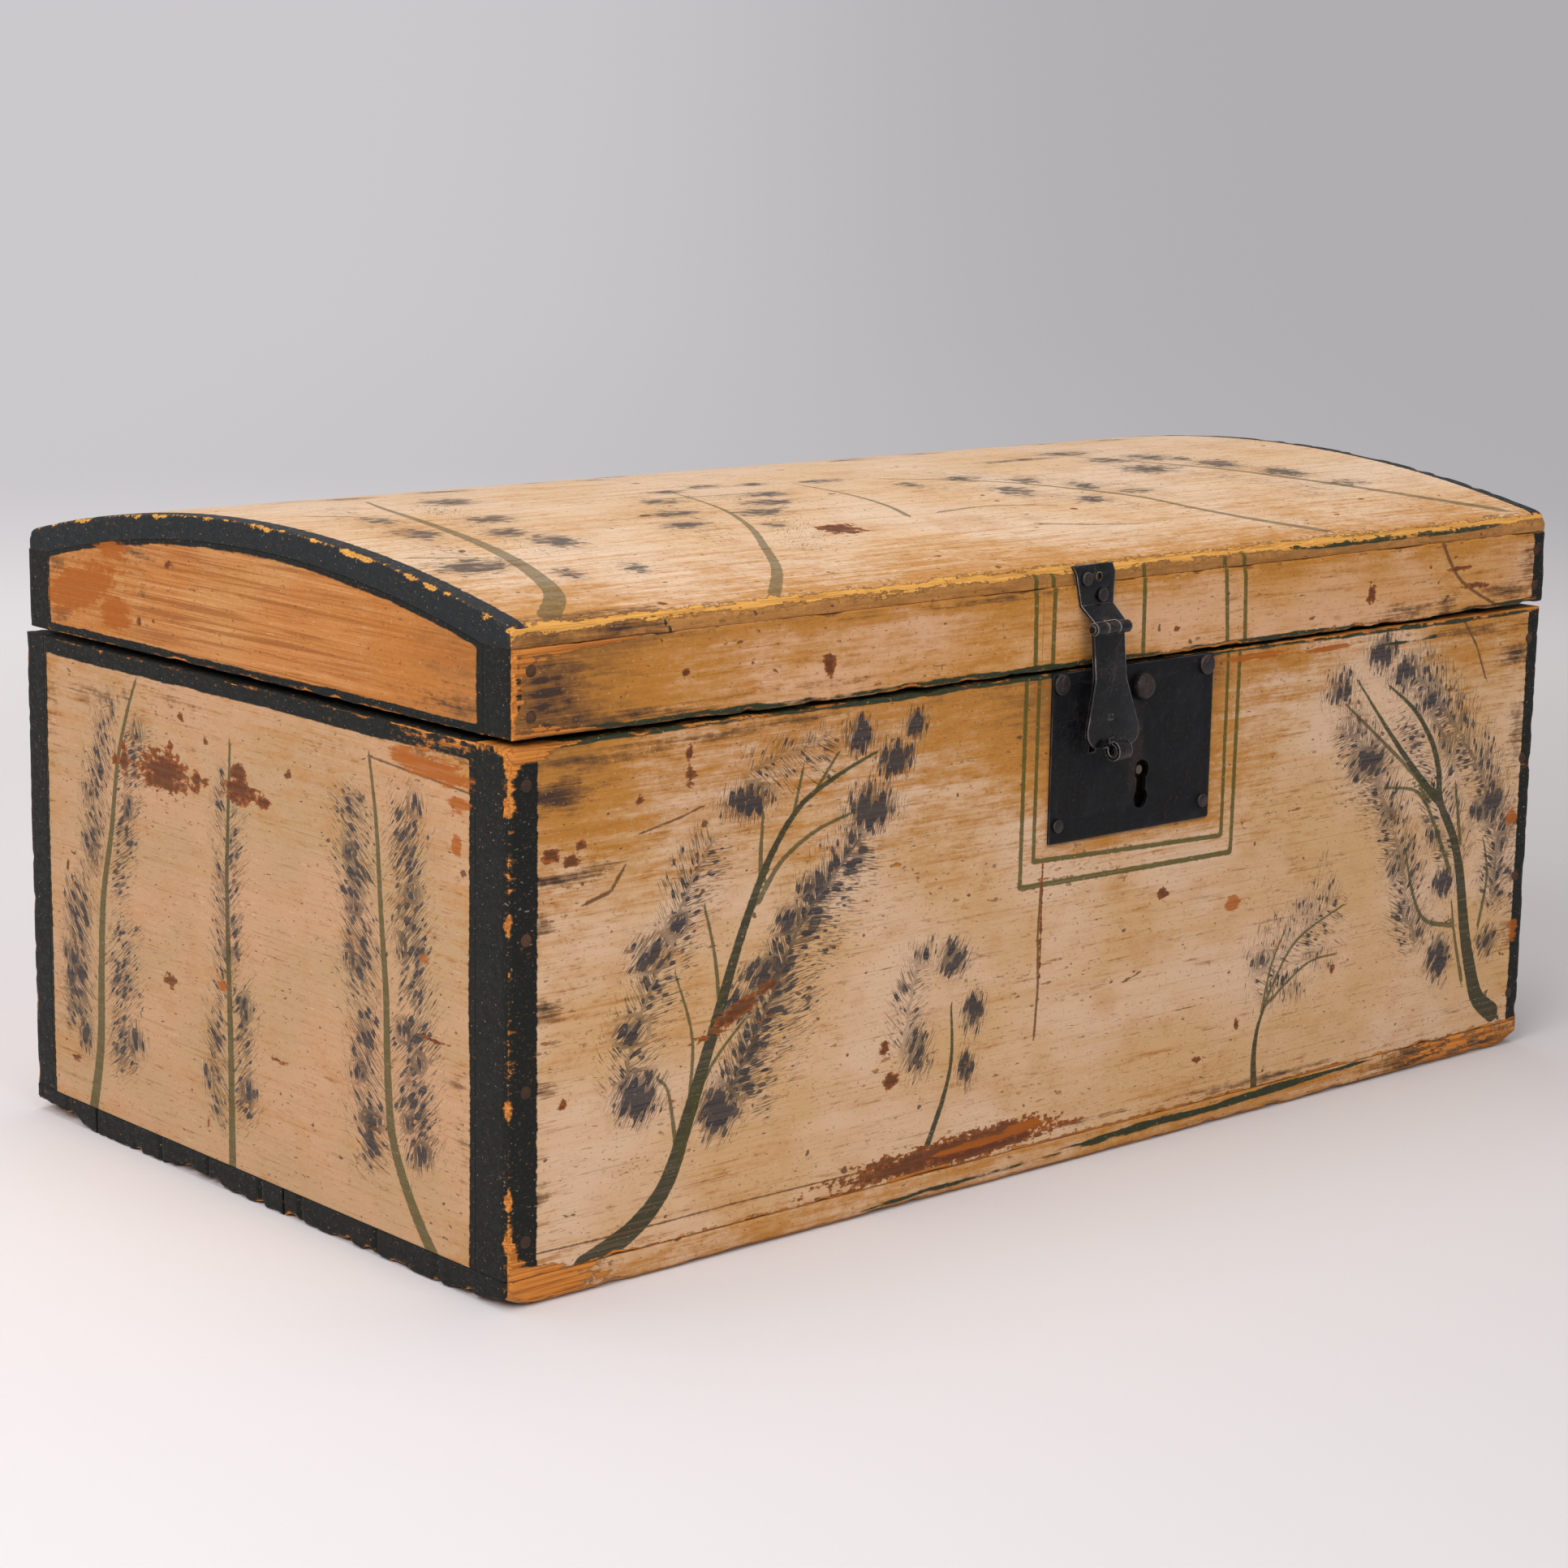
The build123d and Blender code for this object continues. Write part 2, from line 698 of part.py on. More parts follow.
# Lock plate with its keyhole, staple slot and nail holes
with BuildPart() as lock_plate:
    with BuildSketch(plate_face):
        with Locations(plate_middle):
            RectangleRounded(plate_width, plate_height, plate_corner)
        with Locations((keyhole_x, keyhole_bow_z)):
            Circle(keyhole_bow_radius, mode=Mode.SUBTRACT)
        with Locations((keyhole_x, keyhole_bow_z - keyhole_drop / 2)):
            Rectangle(keyhole_waist, keyhole_drop, mode=Mode.SUBTRACT)
        with Locations((keyhole_x, keyhole_bow_z - keyhole_drop)):
            Circle(keyhole_foot_radius, mode=Mode.SUBTRACT)
        with Locations((staple_x, slot_z)):
            Rectangle(
                staple_width + 2 * slot_side_clearance, slot_height, mode=Mode.SUBTRACT
            )
    extrude(amount=-plate_thickness)
    add(plate_nail_holes, mode=Mode.SUBTRACT)
    add(cover_rivet_hole, mode=Mode.SUBTRACT)
keep(lock_plate.part, "lock_plate")

with BuildPart() as lock_plate_nails:
    add(
        iron_nails(
            plate_face, large_nail_spots, plate_nail_reach, plate_nail_shank, large_head_radius
        )
    )
    add(
        iron_nails(
            plate_face, small_nail_spots, plate_nail_reach, plate_nail_shank, small_head_radius
        )
    )
keep(lock_plate_nails.part, "lock_plate_nails")

# Rivet on which the lost keyhole cover turned, with a domed head
with BuildPart(plate_face) as keyhole_cover_rivet:
    with Locations(cover_rivet_spot):
        Cylinder(cover_rivet_radius, cover_rivet_height, align=upwards)
        Cylinder(cover_rivet_shank, cover_rivet_length, align=downwards)
    fillet(keyhole_cover_rivet.edges().group_by(Axis.Y)[0], cover_rivet_round)
keep(keyhole_cover_rivet.part, "keyhole_cover_rivet")

# Lock case: an open tray behind the plate, with the stud that holds the spring
with BuildPart() as lock_case:
    with BuildSketch(front_face.offset(-lock_floor_depth)):
        with Locations(lock_case_middle):
            Rectangle(lock_case_width, lock_case_height)
    extrude(amount=lock_case_depth)
    with BuildSketch(cavity_floor):
        with Locations(lock_case_middle):
            Rectangle(
                lock_case_width - 2 * lock_case_wall, lock_case_height - 2 * lock_case_wall
            )
    extrude(amount=lock_case_depth, mode=Mode.SUBTRACT)
    with BuildSketch(cavity_floor):
        with Locations(stud_spot):
            Circle(spring_stud_radius)
    extrude(amount=cavity_floor_depth - bolt_front_depth)
keep(lock_case.part, "lock_case")

with BuildPart() as lock_drill_pin:
    with BuildSketch(cavity_floor):
        with Locations((keyhole_x, keyhole_bow_z)):
            Circle(drill_pin_radius)
    extrude(amount=cavity_floor_depth + plate_proud - drill_pin_recess)
keep(lock_drill_pin.part, "lock_drill_pin")

# Sliding bolt, drawn back at rest, with the notched talon that the key pushes
with BuildPart() as lock_bolt:
    with BuildSketch(front_face.offset(-bolt_front_depth)):
        with Locations((bolt_tip_x + bolt_length / 2, bolt_z)):
            Rectangle(bolt_length, bolt_height)
        with Locations((keyhole_x, bolt_z - bolt_height / 2 - bolt_talon_drop / 2)):
            Rectangle(bolt_talon_width, bolt_talon_drop)
            Rectangle(bolt_talon_notch, bolt_talon_drop, mode=Mode.SUBTRACT)
    extrude(amount=-bolt_thickness)
keep(lock_bolt.part, "lock_bolt")

# Two keepers stand on the floor of the lock case and guide the bolt
with BuildPart() as lock_bolt_guides:
    guide_middle = bolt_tip_x + guide_first + guide_width / 2
    guide_height = bolt_height + 2 * (bolt_slide_clearance + guide_wall)
    with BuildSketch(cavity_floor):
        with Locations((guide_middle, bolt_z), (guide_middle + guide_spread, bolt_z)):
            Rectangle(guide_width, guide_height)
    extrude(amount=cavity_floor_depth - plate_back_depth - bolt_slide_clearance)
    with BuildSketch(front_face.offset(-bolt_front_depth + bolt_slide_clearance)):
        with Locations((guide_middle, bolt_z), (guide_middle + guide_spread, bolt_z)):
            Rectangle(2 * guide_width, bolt_height + 2 * bolt_slide_clearance)
    extrude(amount=-(bolt_thickness + 2 * bolt_slide_clearance), mode=Mode.SUBTRACT)
keep(lock_bolt_guides.part, "lock_bolt_guides")

# Leaf spring, its eye round the stud and its tip just above the bolt
spring_eye_radius = spring_stud_radius + nail_clearance + spring_eye_wall
spring_tip = (
    stud_spot[0] - spring_reach,
    bolt_top_z + spring_tip_gap + spring_thickness / 2,
)
with BuildPart() as lock_spring:
    with BuildSketch(front_face.offset(-bolt_front_depth)):
        with BuildLine():
            Line(stud_spot, spring_tip)
        trace(line_width=spring_thickness)
        with Locations(stud_spot):
            Circle(spring_eye_radius)
            Circle(spring_stud_radius + nail_clearance, mode=Mode.SUBTRACT)
    extrude(amount=-spring_width)
keep(lock_spring.part, "lock_spring")

# Hasp leaf, nailed over the joint of the rail and the top board and bent out to its barrel
hasp_knuckle_length = (hasp_barrel_length - 2 * hasp_knuckle_gap) / 3
hasp_knuckle_step = hasp_knuckle_length + hasp_knuckle_gap
hasp_clear_radius = hasp_barrel_radius + hasp_knuckle_gap
hasp_leaf_top = rail_top + hasp_leaf_overlap
leaf_front_y = -half_depth - hasp_leaf_thickness
leaf_lean_z = hasp_leaf_top - hasp_leaf_lean_height
leaf_bend_z = hasp_axis_z + hasp_leaf_bend


def hasp_rod(radius, length, step=0):
    """A round bar on the hasp's axis, a number of knuckles to the right of its middle."""
    return rod_along_x(
        hasp_x + step * hasp_knuckle_step, hasp_axis_y, hasp_axis_z, radius, length
    )


def on_barrel(shares):
    """A point in Y and Z on the barrel's round, from its shares of the radius."""
    return (
        hasp_axis_y + hasp_barrel_radius * shares[0],
        hasp_axis_z + hasp_barrel_radius * shares[1],
    )


hasp_bore = hasp_rod(hasp_pin_radius + hasp_pin_clearance, 2 * hasp_barrel_length)
hasp_knuckle_room = hasp_knuckle_length + 2 * hasp_knuckle_gap
with BuildPart() as hasp_leaf:
    with BuildSketch(Plane.YZ.offset(hasp_x)):
        with BuildLine():
            Polyline(
                (-half_depth + hasp_leaf_lean, hasp_leaf_top),
                (-half_depth, leaf_lean_z),
                (-half_depth, leaf_bend_z),
                on_barrel(hasp_wrap_back),
                on_barrel(hasp_wrap_front),
                (leaf_front_y, leaf_bend_z + hasp_leaf_miter),
                (leaf_front_y, leaf_lean_z + hasp_leaf_lean_miter),
                (leaf_front_y + hasp_leaf_lean, hasp_leaf_top + hasp_leaf_miter),
                close=True,
            )
        make_face()
    extrude(amount=hasp_leaf_top_width, both=True)
    with BuildSketch(front_face.offset(-hasp_leaf_top_width)):
        with BuildLine():
            Polyline(
                (hasp_x - hasp_leaf_skew - hasp_leaf_top_width / 2, hasp_leaf_top + overcut),
                (hasp_x - hasp_leaf_skew + hasp_leaf_top_width / 2, hasp_leaf_top + overcut),
                (hasp_x + hasp_leaf_bend_right, leaf_bend_z),
                (hasp_x + hasp_arm_width / 2, hasp_axis_z + hasp_barrel_radius),
                (hasp_x + hasp_arm_width / 2, hasp_axis_z),
                (hasp_x - hasp_arm_width / 2, hasp_axis_z),
                (hasp_x - hasp_arm_width / 2, hasp_axis_z + hasp_barrel_radius),
                (hasp_x - hasp_leaf_bend_left, leaf_bend_z),
                close=True,
            )
        make_face()
    extrude(amount=3 * hasp_leaf_top_width, mode=Mode.INTERSECT)
    add(hasp_rod(hasp_clear_radius, hasp_knuckle_room), mode=Mode.SUBTRACT)
    for step in (-1, 1):
        add(hasp_rod(hasp_barrel_radius, hasp_knuckle_length, step))
    add(hasp_bore, mode=Mode.SUBTRACT)
    add(hasp_nail_holes, mode=Mode.SUBTRACT)
    with BuildSketch(leaf_face.offset(overcut)):
        with Locations(empty_hole_spot):
            Circle(hasp_empty_hole_radius)
    extrude(amount=-2 * hasp_leaf_thickness, mode=Mode.SUBTRACT)
keep(hasp_leaf.part, "hasp_leaf")
keep(
    iron_nails(
        leaf_face, hasp_nail_spots, hasp_nail_reach, plate_nail_shank, small_head_radius
    ),
    "hasp_leaf_nails",
)

with BuildPart() as hasp_pin:
    add(hasp_rod(hasp_pin_radius, hasp_barrel_length))
    for end in (-1, 1):
        with Locations(((hasp_barrel_length + hasp_pin_radius) / 2 * end, 0, 0)):
            add(hasp_rod(hasp_pin_head_radius, hasp_pin_radius))
keep(hasp_pin.part, "hasp_pin")

# Hasp arm: a flat tongue that widens downwards, with a curled finger lip
staple_leg_offset = (staple_eye_height + staple_bar) / 2
arm_back = -hasp_barrel_radius
arm_front = arm_back + hasp_arm_thickness
with BuildPart() as hasp_arm:
    with BuildSketch(arm_plane.offset(arm_back)) as tongue:
        with BuildLine():
            Polyline(
                (-hasp_arm_width / 2, 0),
                (-hasp_arm_width / 2, -hasp_arm_neck),
                (-hasp_arm_spread / 2, -hasp_arm_length + hasp_arm_foot),
                (-hasp_arm_spread / 2, -hasp_arm_length),
                (hasp_arm_spread / 2, -hasp_arm_length),
                (hasp_arm_spread / 2, -hasp_arm_length + hasp_arm_foot),
                (hasp_arm_width / 2, -hasp_arm_neck),
                (hasp_arm_width / 2, 0),
                close=True,
            )
        make_face()
        fillet(tongue.vertices().group_by(Axis.Y)[2], hasp_neck_round)
        fillet(tongue.vertices().group_by(Axis.Y)[0], hasp_foot_round)
    extrude(amount=hasp_arm_thickness)
    for step in (-1, 1):
        add(hasp_rod(hasp_clear_radius, hasp_knuckle_room, step), mode=Mode.SUBTRACT)
    add(hasp_rod(hasp_barrel_radius, hasp_knuckle_length))
    add(hasp_bore, mode=Mode.SUBTRACT)
    with BuildSketch(arm_plane.offset(arm_back - overcut)):
        with Locations(
            (staple_x - hasp_x, -staple_drop - staple_leg_offset),
            (staple_x - hasp_x, -staple_drop + staple_leg_offset),
        ):
            Rectangle(staple_width + 2 * nail_clearance, staple_bar + 2 * nail_clearance)
    extrude(amount=2 * hasp_arm_thickness, mode=Mode.SUBTRACT)
    # The lip leaves the arm's foot and curls outwards in a scroll
    lip_cut = hasp_lip_radius + hasp_arm_thickness
    with BuildSketch(arm_side_plane.offset(-hasp_lip_width / 2)):
        with Locations((-lip_reach, arm_back + hasp_lip_radius)):
            Circle(hasp_lip_radius)
            Circle(hasp_lip_radius - hasp_arm_thickness, mode=Mode.SUBTRACT)
        with Locations((-lip_reach, arm_back + hasp_lip_radius)):
            Rectangle(lip_cut, lip_cut, align=(Align.MIN, Align.MAX), mode=Mode.SUBTRACT)
        with Locations((-lip_reach, arm_back)):
            Rectangle(
                hasp_lip_root + hasp_lip_drop, hasp_arm_thickness, align=(Align.MIN, Align.MIN)
            )
    extrude(amount=hasp_lip_width)
keep(hasp_arm.part, "hasp_arm")

# Staple behind the arm: an eye for the bolt, its legs riveted over on the arm's front
eye_foot = -staple_drop - staple_eye_height / 2
eye_top = -staple_drop + staple_eye_height / 2
peen_front = arm_front + staple_peen
with BuildPart() as hasp_staple:
    with BuildSketch(arm_side_plane.offset(staple_x - hasp_x - staple_width / 2)) as eye:
        with BuildLine():
            Polyline(
                (eye_foot - staple_bar, peen_front),
                (eye_foot - staple_bar, -staple_depth),
                (eye_top + staple_bar, -staple_depth),
                (eye_top + staple_bar, peen_front),
                (eye_top, peen_front),
                (eye_top, staple_bar - staple_depth),
                (eye_foot, staple_bar - staple_depth),
                (eye_foot, peen_front),
                close=True,
            )
        make_face()
        fillet(eye.vertices().group_by(Axis.Y)[0], staple_bar)
    extrude(amount=staple_width)
keep(hasp_staple.part, "hasp_staple")
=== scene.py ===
# %% [markdown]
# # A painted pine trunk
# A small dome-topped trunk of nailed pine boards. Its milk paint is old and worn, with dark sprigs laid on by
# brush and thumb, and it has an iron lock plate and a hanging hasp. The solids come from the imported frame, and
# each cell below dresses one part of it. Every length is in metres, X runs along the trunk and the front faces -Y.

# %% Load the frame
import math
from types import SimpleNamespace

import bmesh
import bpy
import numpy as np
from mathutils import Matrix, Vector


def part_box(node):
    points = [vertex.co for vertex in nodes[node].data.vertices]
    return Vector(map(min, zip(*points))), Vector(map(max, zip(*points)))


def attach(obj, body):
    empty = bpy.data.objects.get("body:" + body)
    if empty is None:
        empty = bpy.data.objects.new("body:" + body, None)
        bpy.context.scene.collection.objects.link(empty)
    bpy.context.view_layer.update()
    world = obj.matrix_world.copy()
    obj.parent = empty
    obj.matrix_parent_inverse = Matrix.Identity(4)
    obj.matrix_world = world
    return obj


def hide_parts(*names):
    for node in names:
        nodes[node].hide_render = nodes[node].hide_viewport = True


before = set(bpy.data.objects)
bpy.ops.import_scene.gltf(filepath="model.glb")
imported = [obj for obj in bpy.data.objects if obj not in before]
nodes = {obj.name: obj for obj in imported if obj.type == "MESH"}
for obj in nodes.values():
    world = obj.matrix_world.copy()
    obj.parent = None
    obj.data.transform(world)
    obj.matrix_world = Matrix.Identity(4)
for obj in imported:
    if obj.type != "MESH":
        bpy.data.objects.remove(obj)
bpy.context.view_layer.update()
MM = 0.001
touch = 0.1 * MM


def linked(name, data):
    """A new object in the scene."""
    piece = bpy.data.objects.new(name, data)
    bpy.context.scene.collection.objects.link(piece)
    return piece


# %% [markdown]
# ## Camera
# The trunk stands 42 degrees round from its front, seen from a little above. A camera's own axes are columns of
# its matrix: X to the right, Y up, and Z back towards the eye. Building them from the angles keeps the small
# roll of the photograph, which a tracking constraint would straighten.

# %% Camera at the photograph's angle
camera_azimuth = math.radians(41.789)
camera_elevation = math.radians(11.210)
camera_roll = math.radians(0.955)
camera_place = Vector((-1.1003, -1.2085, 0.4656))
camera_lens = 80.757

level_share = math.cos(camera_elevation)
forward = Vector((
    math.sin(camera_azimuth) * level_share, math.cos(camera_azimuth) * level_share, -math.sin(camera_elevation)
))
level_right = forward.cross(Vector((0, 0, 1))).normalized()
level_up = level_right.cross(forward)
right = level_right * math.cos(camera_roll) + level_up * math.sin(camera_roll)
up = level_up * math.cos(camera_roll) - level_right * math.sin(camera_roll)
camera_data = bpy.data.cameras.new("camera")
camera_data.lens = camera_lens
camera_data.sensor_width = 36.0
camera = linked("camera", camera_data)
camera.matrix_world = Matrix([*((*axes, at) for axes, at in zip(zip(right, up, -forward), camera_place)), (0, 0, 0, 1)])
bpy.context.scene.camera = camera
bpy.context.scene.view_settings.view_transform = "Standard"
print("camera at", [round(v, 2) for v in camera_place], "with a lens of", camera_lens, "mm")

# %% [markdown]
# ## A short way to write node trees
# Paint on old wood is many thin layers, so its node tree is long. A small class that returns a socket from each
# call lets a layer be written in one line, in the order in which a painter would lay it on.


# %% Node notation
class Finish:
    """A material whose layers are written as calls. Each call adds one node and returns its output."""

    def __init__(self, name):
        self.material = bpy.data.materials.new(name)
        self.material.use_nodes = True
        self.tree = self.material.node_tree
        self.tree.nodes.clear()
        self.place = self.add("ShaderNodeTexCoord", {}, "Object")

    def add(self, kind, inputs, output=0, **settings):
        node = self.tree.nodes.new(kind)
        for key, value in settings.items():
            setattr(node, key, value)
        for key, value in inputs.items():
            if isinstance(value, bpy.types.NodeSocket):
                self.tree.links.new(value, node.inputs[key])
            else:
                node.inputs[key].default_value = value
        return node.outputs[output] if node.outputs else node

    def math(self, operation, *values):
        return self.add("ShaderNodeMath", dict(enumerate(values)), operation=operation)

    def step(self, value, low, high, start=0.0, end=1.0):
        """A smooth step: start below low, end above high."""
        inputs = {"Value": value, "From Min": low, "From Max": high, "To Min": start, "To Max": end}
        return self.add("ShaderNodeMapRange", inputs, interpolation_type="SMOOTHSTEP")

    def mix(self, share, under, over, blend="MIX"):
        """Colour `over` laid on colour `under`, by its share."""
        over = (*over, 1.0) if isinstance(over, tuple) else over
        under = (*under, 1.0) if isinstance(under, tuple) else under
        inputs = {0: share, 6: under, 7: over}
        return self.add("ShaderNodeMix", inputs, 2, data_type="RGBA", blend_type=blend)

    def glaze(self, colour, *layers):
        """Colours laid one on another. A layer (value, low, high, share, colour) is 0 below low, `share` above high."""
        for value, low, high, share, over in layers:
            colour = self.mix(self.step(value, low, high, 0, share), colour, over)
        return colour

    def plus(self, base, *terms):
        """`base` plus each (value, share) term's value times its share."""
        for value, share in terms:
            base = self.math("MULTIPLY_ADD", value, share, base)
        return base

    def mapped(self, size, offset=(0, 0, 0), vector=None):
        """The place on the piece, measured in patches of that size in millimetres."""
        scale = tuple(1.0 / (s * MM) for s in size)
        inputs = {"Vector": vector or self.place, "Scale": scale, "Location": offset}
        return self.add("ShaderNodeMapping", inputs)

    def noise(self, size, detail=2.0, rough=0.5, warp=0.0, offset=(0, 0, 0), vector=None):
        """Smooth random values, about 0.25 to 0.75, in patches of that size in millimetres."""
        inputs = {"Vector": self.mapped(size, offset, vector), "Scale": 1.0, "Detail": detail, "Roughness": rough}
        inputs["Distortion"] = warp
        return self.add("ShaderNodeTexNoise", inputs)

    def field(self, name):
        """A value stored on the piece's points."""
        return self.add("ShaderNodeAttribute", {}, "Fac", attribute_name=name)

    def bump(self, height, distance):
        """A normal tilted as if `height` rose by `distance` millimetres."""
        return self.add("ShaderNodeBump", {"Height": height, "Distance": distance * MM, "Strength": 1.0})

    def shader(self, colour, roughness, normal=None, specular=0.5):
        inputs = {"Base Color": colour, "Roughness": roughness, "Specular IOR Level": specular}
        return self.add("ShaderNodeBsdfPrincipled", inputs | ({"Normal": normal} if normal else {}))

    def finish(self, *layers, **settings):
        self.add("ShaderNodeOutputMaterial", {"Surface": self.shader(*layers, **settings)})
        print(f"{self.material.name}: {len(self.tree.nodes)} nodes")
        return self.material


# %% [markdown]
# ## Floor, backdrop and light
# The photograph has a seamless pale floor that greys into the background. A bowl turned about the trunk looks
# like that from every side: its profile is a flat disc that curves up into a wall. The floor takes real light,
# so that the trunk's shadow falls on it, and its colour darkens with distance from the trunk.


# %% Bowl-shaped stage
def grid_quads(sheet):
    """The quads between neighbours of a grid of point numbers."""
    return np.stack([sheet[:-1, :-1], sheet[1:, :-1], sheet[1:, 1:], sheet[:-1, 1:]], -1).reshape(-1, 4)


def quad_object(name, points, quads):
    """A smooth-shaded mesh of quads, as an object."""
    mesh = bpy.data.meshes.new(name)
    mesh.from_pydata(points.tolist(), [], quads.tolist())
    mesh.shade_smooth()
    return linked(name, mesh)


floor_radius, bowl_radius, wall_height = 5.0, 3.0, 9.0
bowl_edge = floor_radius + bowl_radius
turn = np.linspace(0, 2 * np.pi, 96, endpoint=False)[:, None]
bend = np.linspace(0, np.pi / 2, 24)
disc = np.linspace(0.01, floor_radius, 40)
profile_out = np.concatenate([disc, floor_radius + bowl_radius * np.sin(bend), [bowl_edge]])
profile_up = np.concatenate([0 * disc, bowl_radius * (1 - np.cos(bend)), [wall_height]])
bowl = np.stack([profile_out * np.cos(turn), profile_out * np.sin(turn), profile_up + 0 * turn], -1)
number = np.arange(bowl[..., 0].size).reshape(bowl.shape[:2])
stage = quad_object("stage", bowl.reshape(-1, 3), grid_quads(np.concatenate([number, number[:1]])))
stage.data.flip_normals()

floor_near = (0.755, 0.722, 0.728)
seen_near = (0.775, 0.735, 0.735)
seen_far = (0.520, 0.502, 0.523)
floor = Finish("pale_floor")
distance = floor.add("ShaderNodeVectorMath", {0: floor.place}, "Value", operation="LENGTH")
across = (math.cos(camera_azimuth), -math.sin(camera_azimuth), 0.0)
to_right = floor.add("ShaderNodeVectorMath", {0: floor.place, 1: across}, "Value", operation="DOT_PRODUCT")
# Painted shade: the floor and the far backdrop darken to the right, as if the light came from the left.
painted_side_shade = floor.math("TANH", floor.math("DIVIDE", to_right, 0.6))
painted_side_shade = floor.math("SUBTRACT", 1.0, floor.math("MULTIPLY", painted_side_shade, 0.165))
far_colour = floor.mix(floor.step(distance, 0.7, 2.8), seen_near, seen_far)
far_seen = floor.add("ShaderNodeEmission", {"Color": far_colour, "Strength": painted_side_shade})
# The lit floor's colour is multiplied by the same painted side shade.
side_shade_grey = floor.add("ShaderNodeCombineColor", dict.fromkeys(("Red", "Green", "Blue"), painted_side_shade))
lit = floor.shader(floor.mix(1.0, floor_near, side_shade_grey, "MULTIPLY"), 0.9, specular=0.1)
seen = floor.add("ShaderNodeLightPath", {}, "Is Camera Ray")
for ray in ("Is Glossy Ray", "Is Transmission Ray"):
    seen = floor.math("MAXIMUM", seen, floor.add("ShaderNodeLightPath", {}, ray))
share = floor.math("MULTIPLY", seen, floor.step(distance, 0.75, 1.7))
mixed = floor.add("ShaderNodeMixShader", {0: share, 1: lit, 2: far_seen})
floor.add("ShaderNodeOutputMaterial", {"Surface": mixed})
stage.data.materials.append(floor.material)
print(f"stage: {len(stage.data.polygons)} quads, {2 * bowl_edge} m across")

# %% Soft studio light
world = bpy.data.worlds.new("studio")
bpy.context.scene.world = world
world.use_nodes = True
background = world.node_tree.nodes["Background"].inputs
background["Color"].default_value = (1.0, 0.99, 0.985, 1.0)
background["Strength"].default_value = 0.50


def softbox(name, place, size, power):
    """A square area lamp that faces the trunk."""
    data = bpy.data.lights.new(name, "AREA")
    data.shape = "SQUARE"
    data.size = size
    data.energy = power
    lamp = linked(name, data)
    lamp.location = place
    aim = Vector((0, 0, 0.12)) - Vector(place)
    lamp.rotation_euler = aim.to_track_quat("-Z", "Y").to_euler()
    print(f"{name}: {power} W, {size} m across")


softbox("softbox_left", (-2.4, -0.9, 2.1), 1.6, 50)
softbox("softbox_front", (-0.4, -2.8, 1.9), 1.8, 27)
softbox("softbox_top", (-0.2, 0.4, 2.9), 2.0, 27)

# %% [markdown]
# ## Boards as worn boxes
# Each board is a box of sawn pine whose outer corners are rounded and nicked by use. Starting from a cube and
# bevelling it would round every edge alike, so here the box is a lattice: its skin is a grid on each of six
# sides, and each point is moved by a formula. Grid lines lie closer together near the edges, where the wear is.


# %% Lattice skin
def box_skin(nx, ny, nz):
    """Lattice indices and quads of the outside of a block of nx by ny by nz points, facing outwards."""
    outside = np.zeros((nx, ny, nz), bool)
    outside[[0, -1]] = True
    outside[:, [0, -1]] = True
    outside[:, :, [0, -1]] = True
    number = np.full((nx, ny, nz), -1)
    number[outside] = np.arange(outside.sum())
    quads = [
        grid_quads(number[-1]), grid_quads(number[0])[:, ::-1],
        grid_quads(number[:, -1])[:, ::-1], grid_quads(number[:, 0]),
        grid_quads(number[:, :, -1]), grid_quads(number[:, :, 0])[:, ::-1],
    ]
    return np.argwhere(outside), np.concatenate(quads)


fringe = np.array([0.0, 0.5, 1.1, 1.9, 3.0, 4.6]) * MM


def spaced(low, high, step):
    """Places from low to high, about a step apart, and closer near both ends."""
    count = max(2, round((high - low - 2 * fringe[-1]) / step) + 1)
    inner = np.linspace(low + fringe[-1], high - fringe[-1], count)
    return np.concatenate([low + fringe[:-1], inner, high - fringe[-2::-1]])


def random_field(points, size, seed):
    """Smooth random values from 0 to 1 that change over about `size`, the same on each run.

    Each corner of the cell that a point lies in gets a value from a hash of its whole numbers,
    and the point's value is their average, weighted by a smooth curve of how near each is.
    """
    scaled = points / np.asarray(size)
    cell = np.floor(scaled).astype(np.int64)
    share = scaled - cell
    share = share * share * (3 - 2 * share)
    total = np.zeros(len(points))
    for corner in np.ndindex(2, 2, 2):
        at = cell + np.array(corner)
        mixed = at[:, 0] * 73856093 ^ at[:, 1] * 19349663 ^ at[:, 2] * 83492791 ^ (seed + 1) * 26544357
        mixed = (mixed ^ (mixed >> 13)) * 1274126177 & 0x7FFFFFFF
        value = ((mixed ^ (mixed >> 16)) & 0xFFFF) / 65535
        weight = np.prod(np.where(np.array(corner), share, 1 - share), axis=1)
        total += value * weight
    return total


def smooth(value, low, high):
    """0 below low, 1 above high, with a smooth curve between."""
    share = np.clip((value - low) / (high - low), 0, 1)
    return share * share * (3 - 2 * share)


# %% Rounding and wear
def round_pair(points, low, high, axes, radius):
    """Rounds the four corners of a section across two axes.

    A point in the square corner of side `radius` is moved along its ray from that corner's centre,
    so that the square becomes a quarter disc: the square's edge falls on the circle.
    """
    a, b = axes
    centre_a = np.clip(points[:, a], low[a] + radius, high[a] - radius)
    centre_b = np.clip(points[:, b], low[b] + radius, high[b] - radius)
    out_a = points[:, a] - centre_a
    out_b = points[:, b] - centre_b
    reach = np.hypot(out_a, out_b)
    share = np.maximum(np.abs(out_a), np.abs(out_b)) / np.maximum(reach, 1e-12)
    points[:, a] = centre_a + out_a * share
    points[:, b] = centre_b + out_b * share


def on_side(points, low, high, side):
    """Whether a point lies in the half of the box next to a side such as (0, -1), the low X side."""
    axis, sign = side
    middle = (low[axis] + high[axis]) / 2
    return (points[:, axis] - middle) * sign >= 0


def side_distance(points, low, high, side):
    """How far each point lies from a side of the box."""
    axis, sign = side
    return high[axis] - points[:, axis] if sign > 0 else points[:, axis] - low[axis]


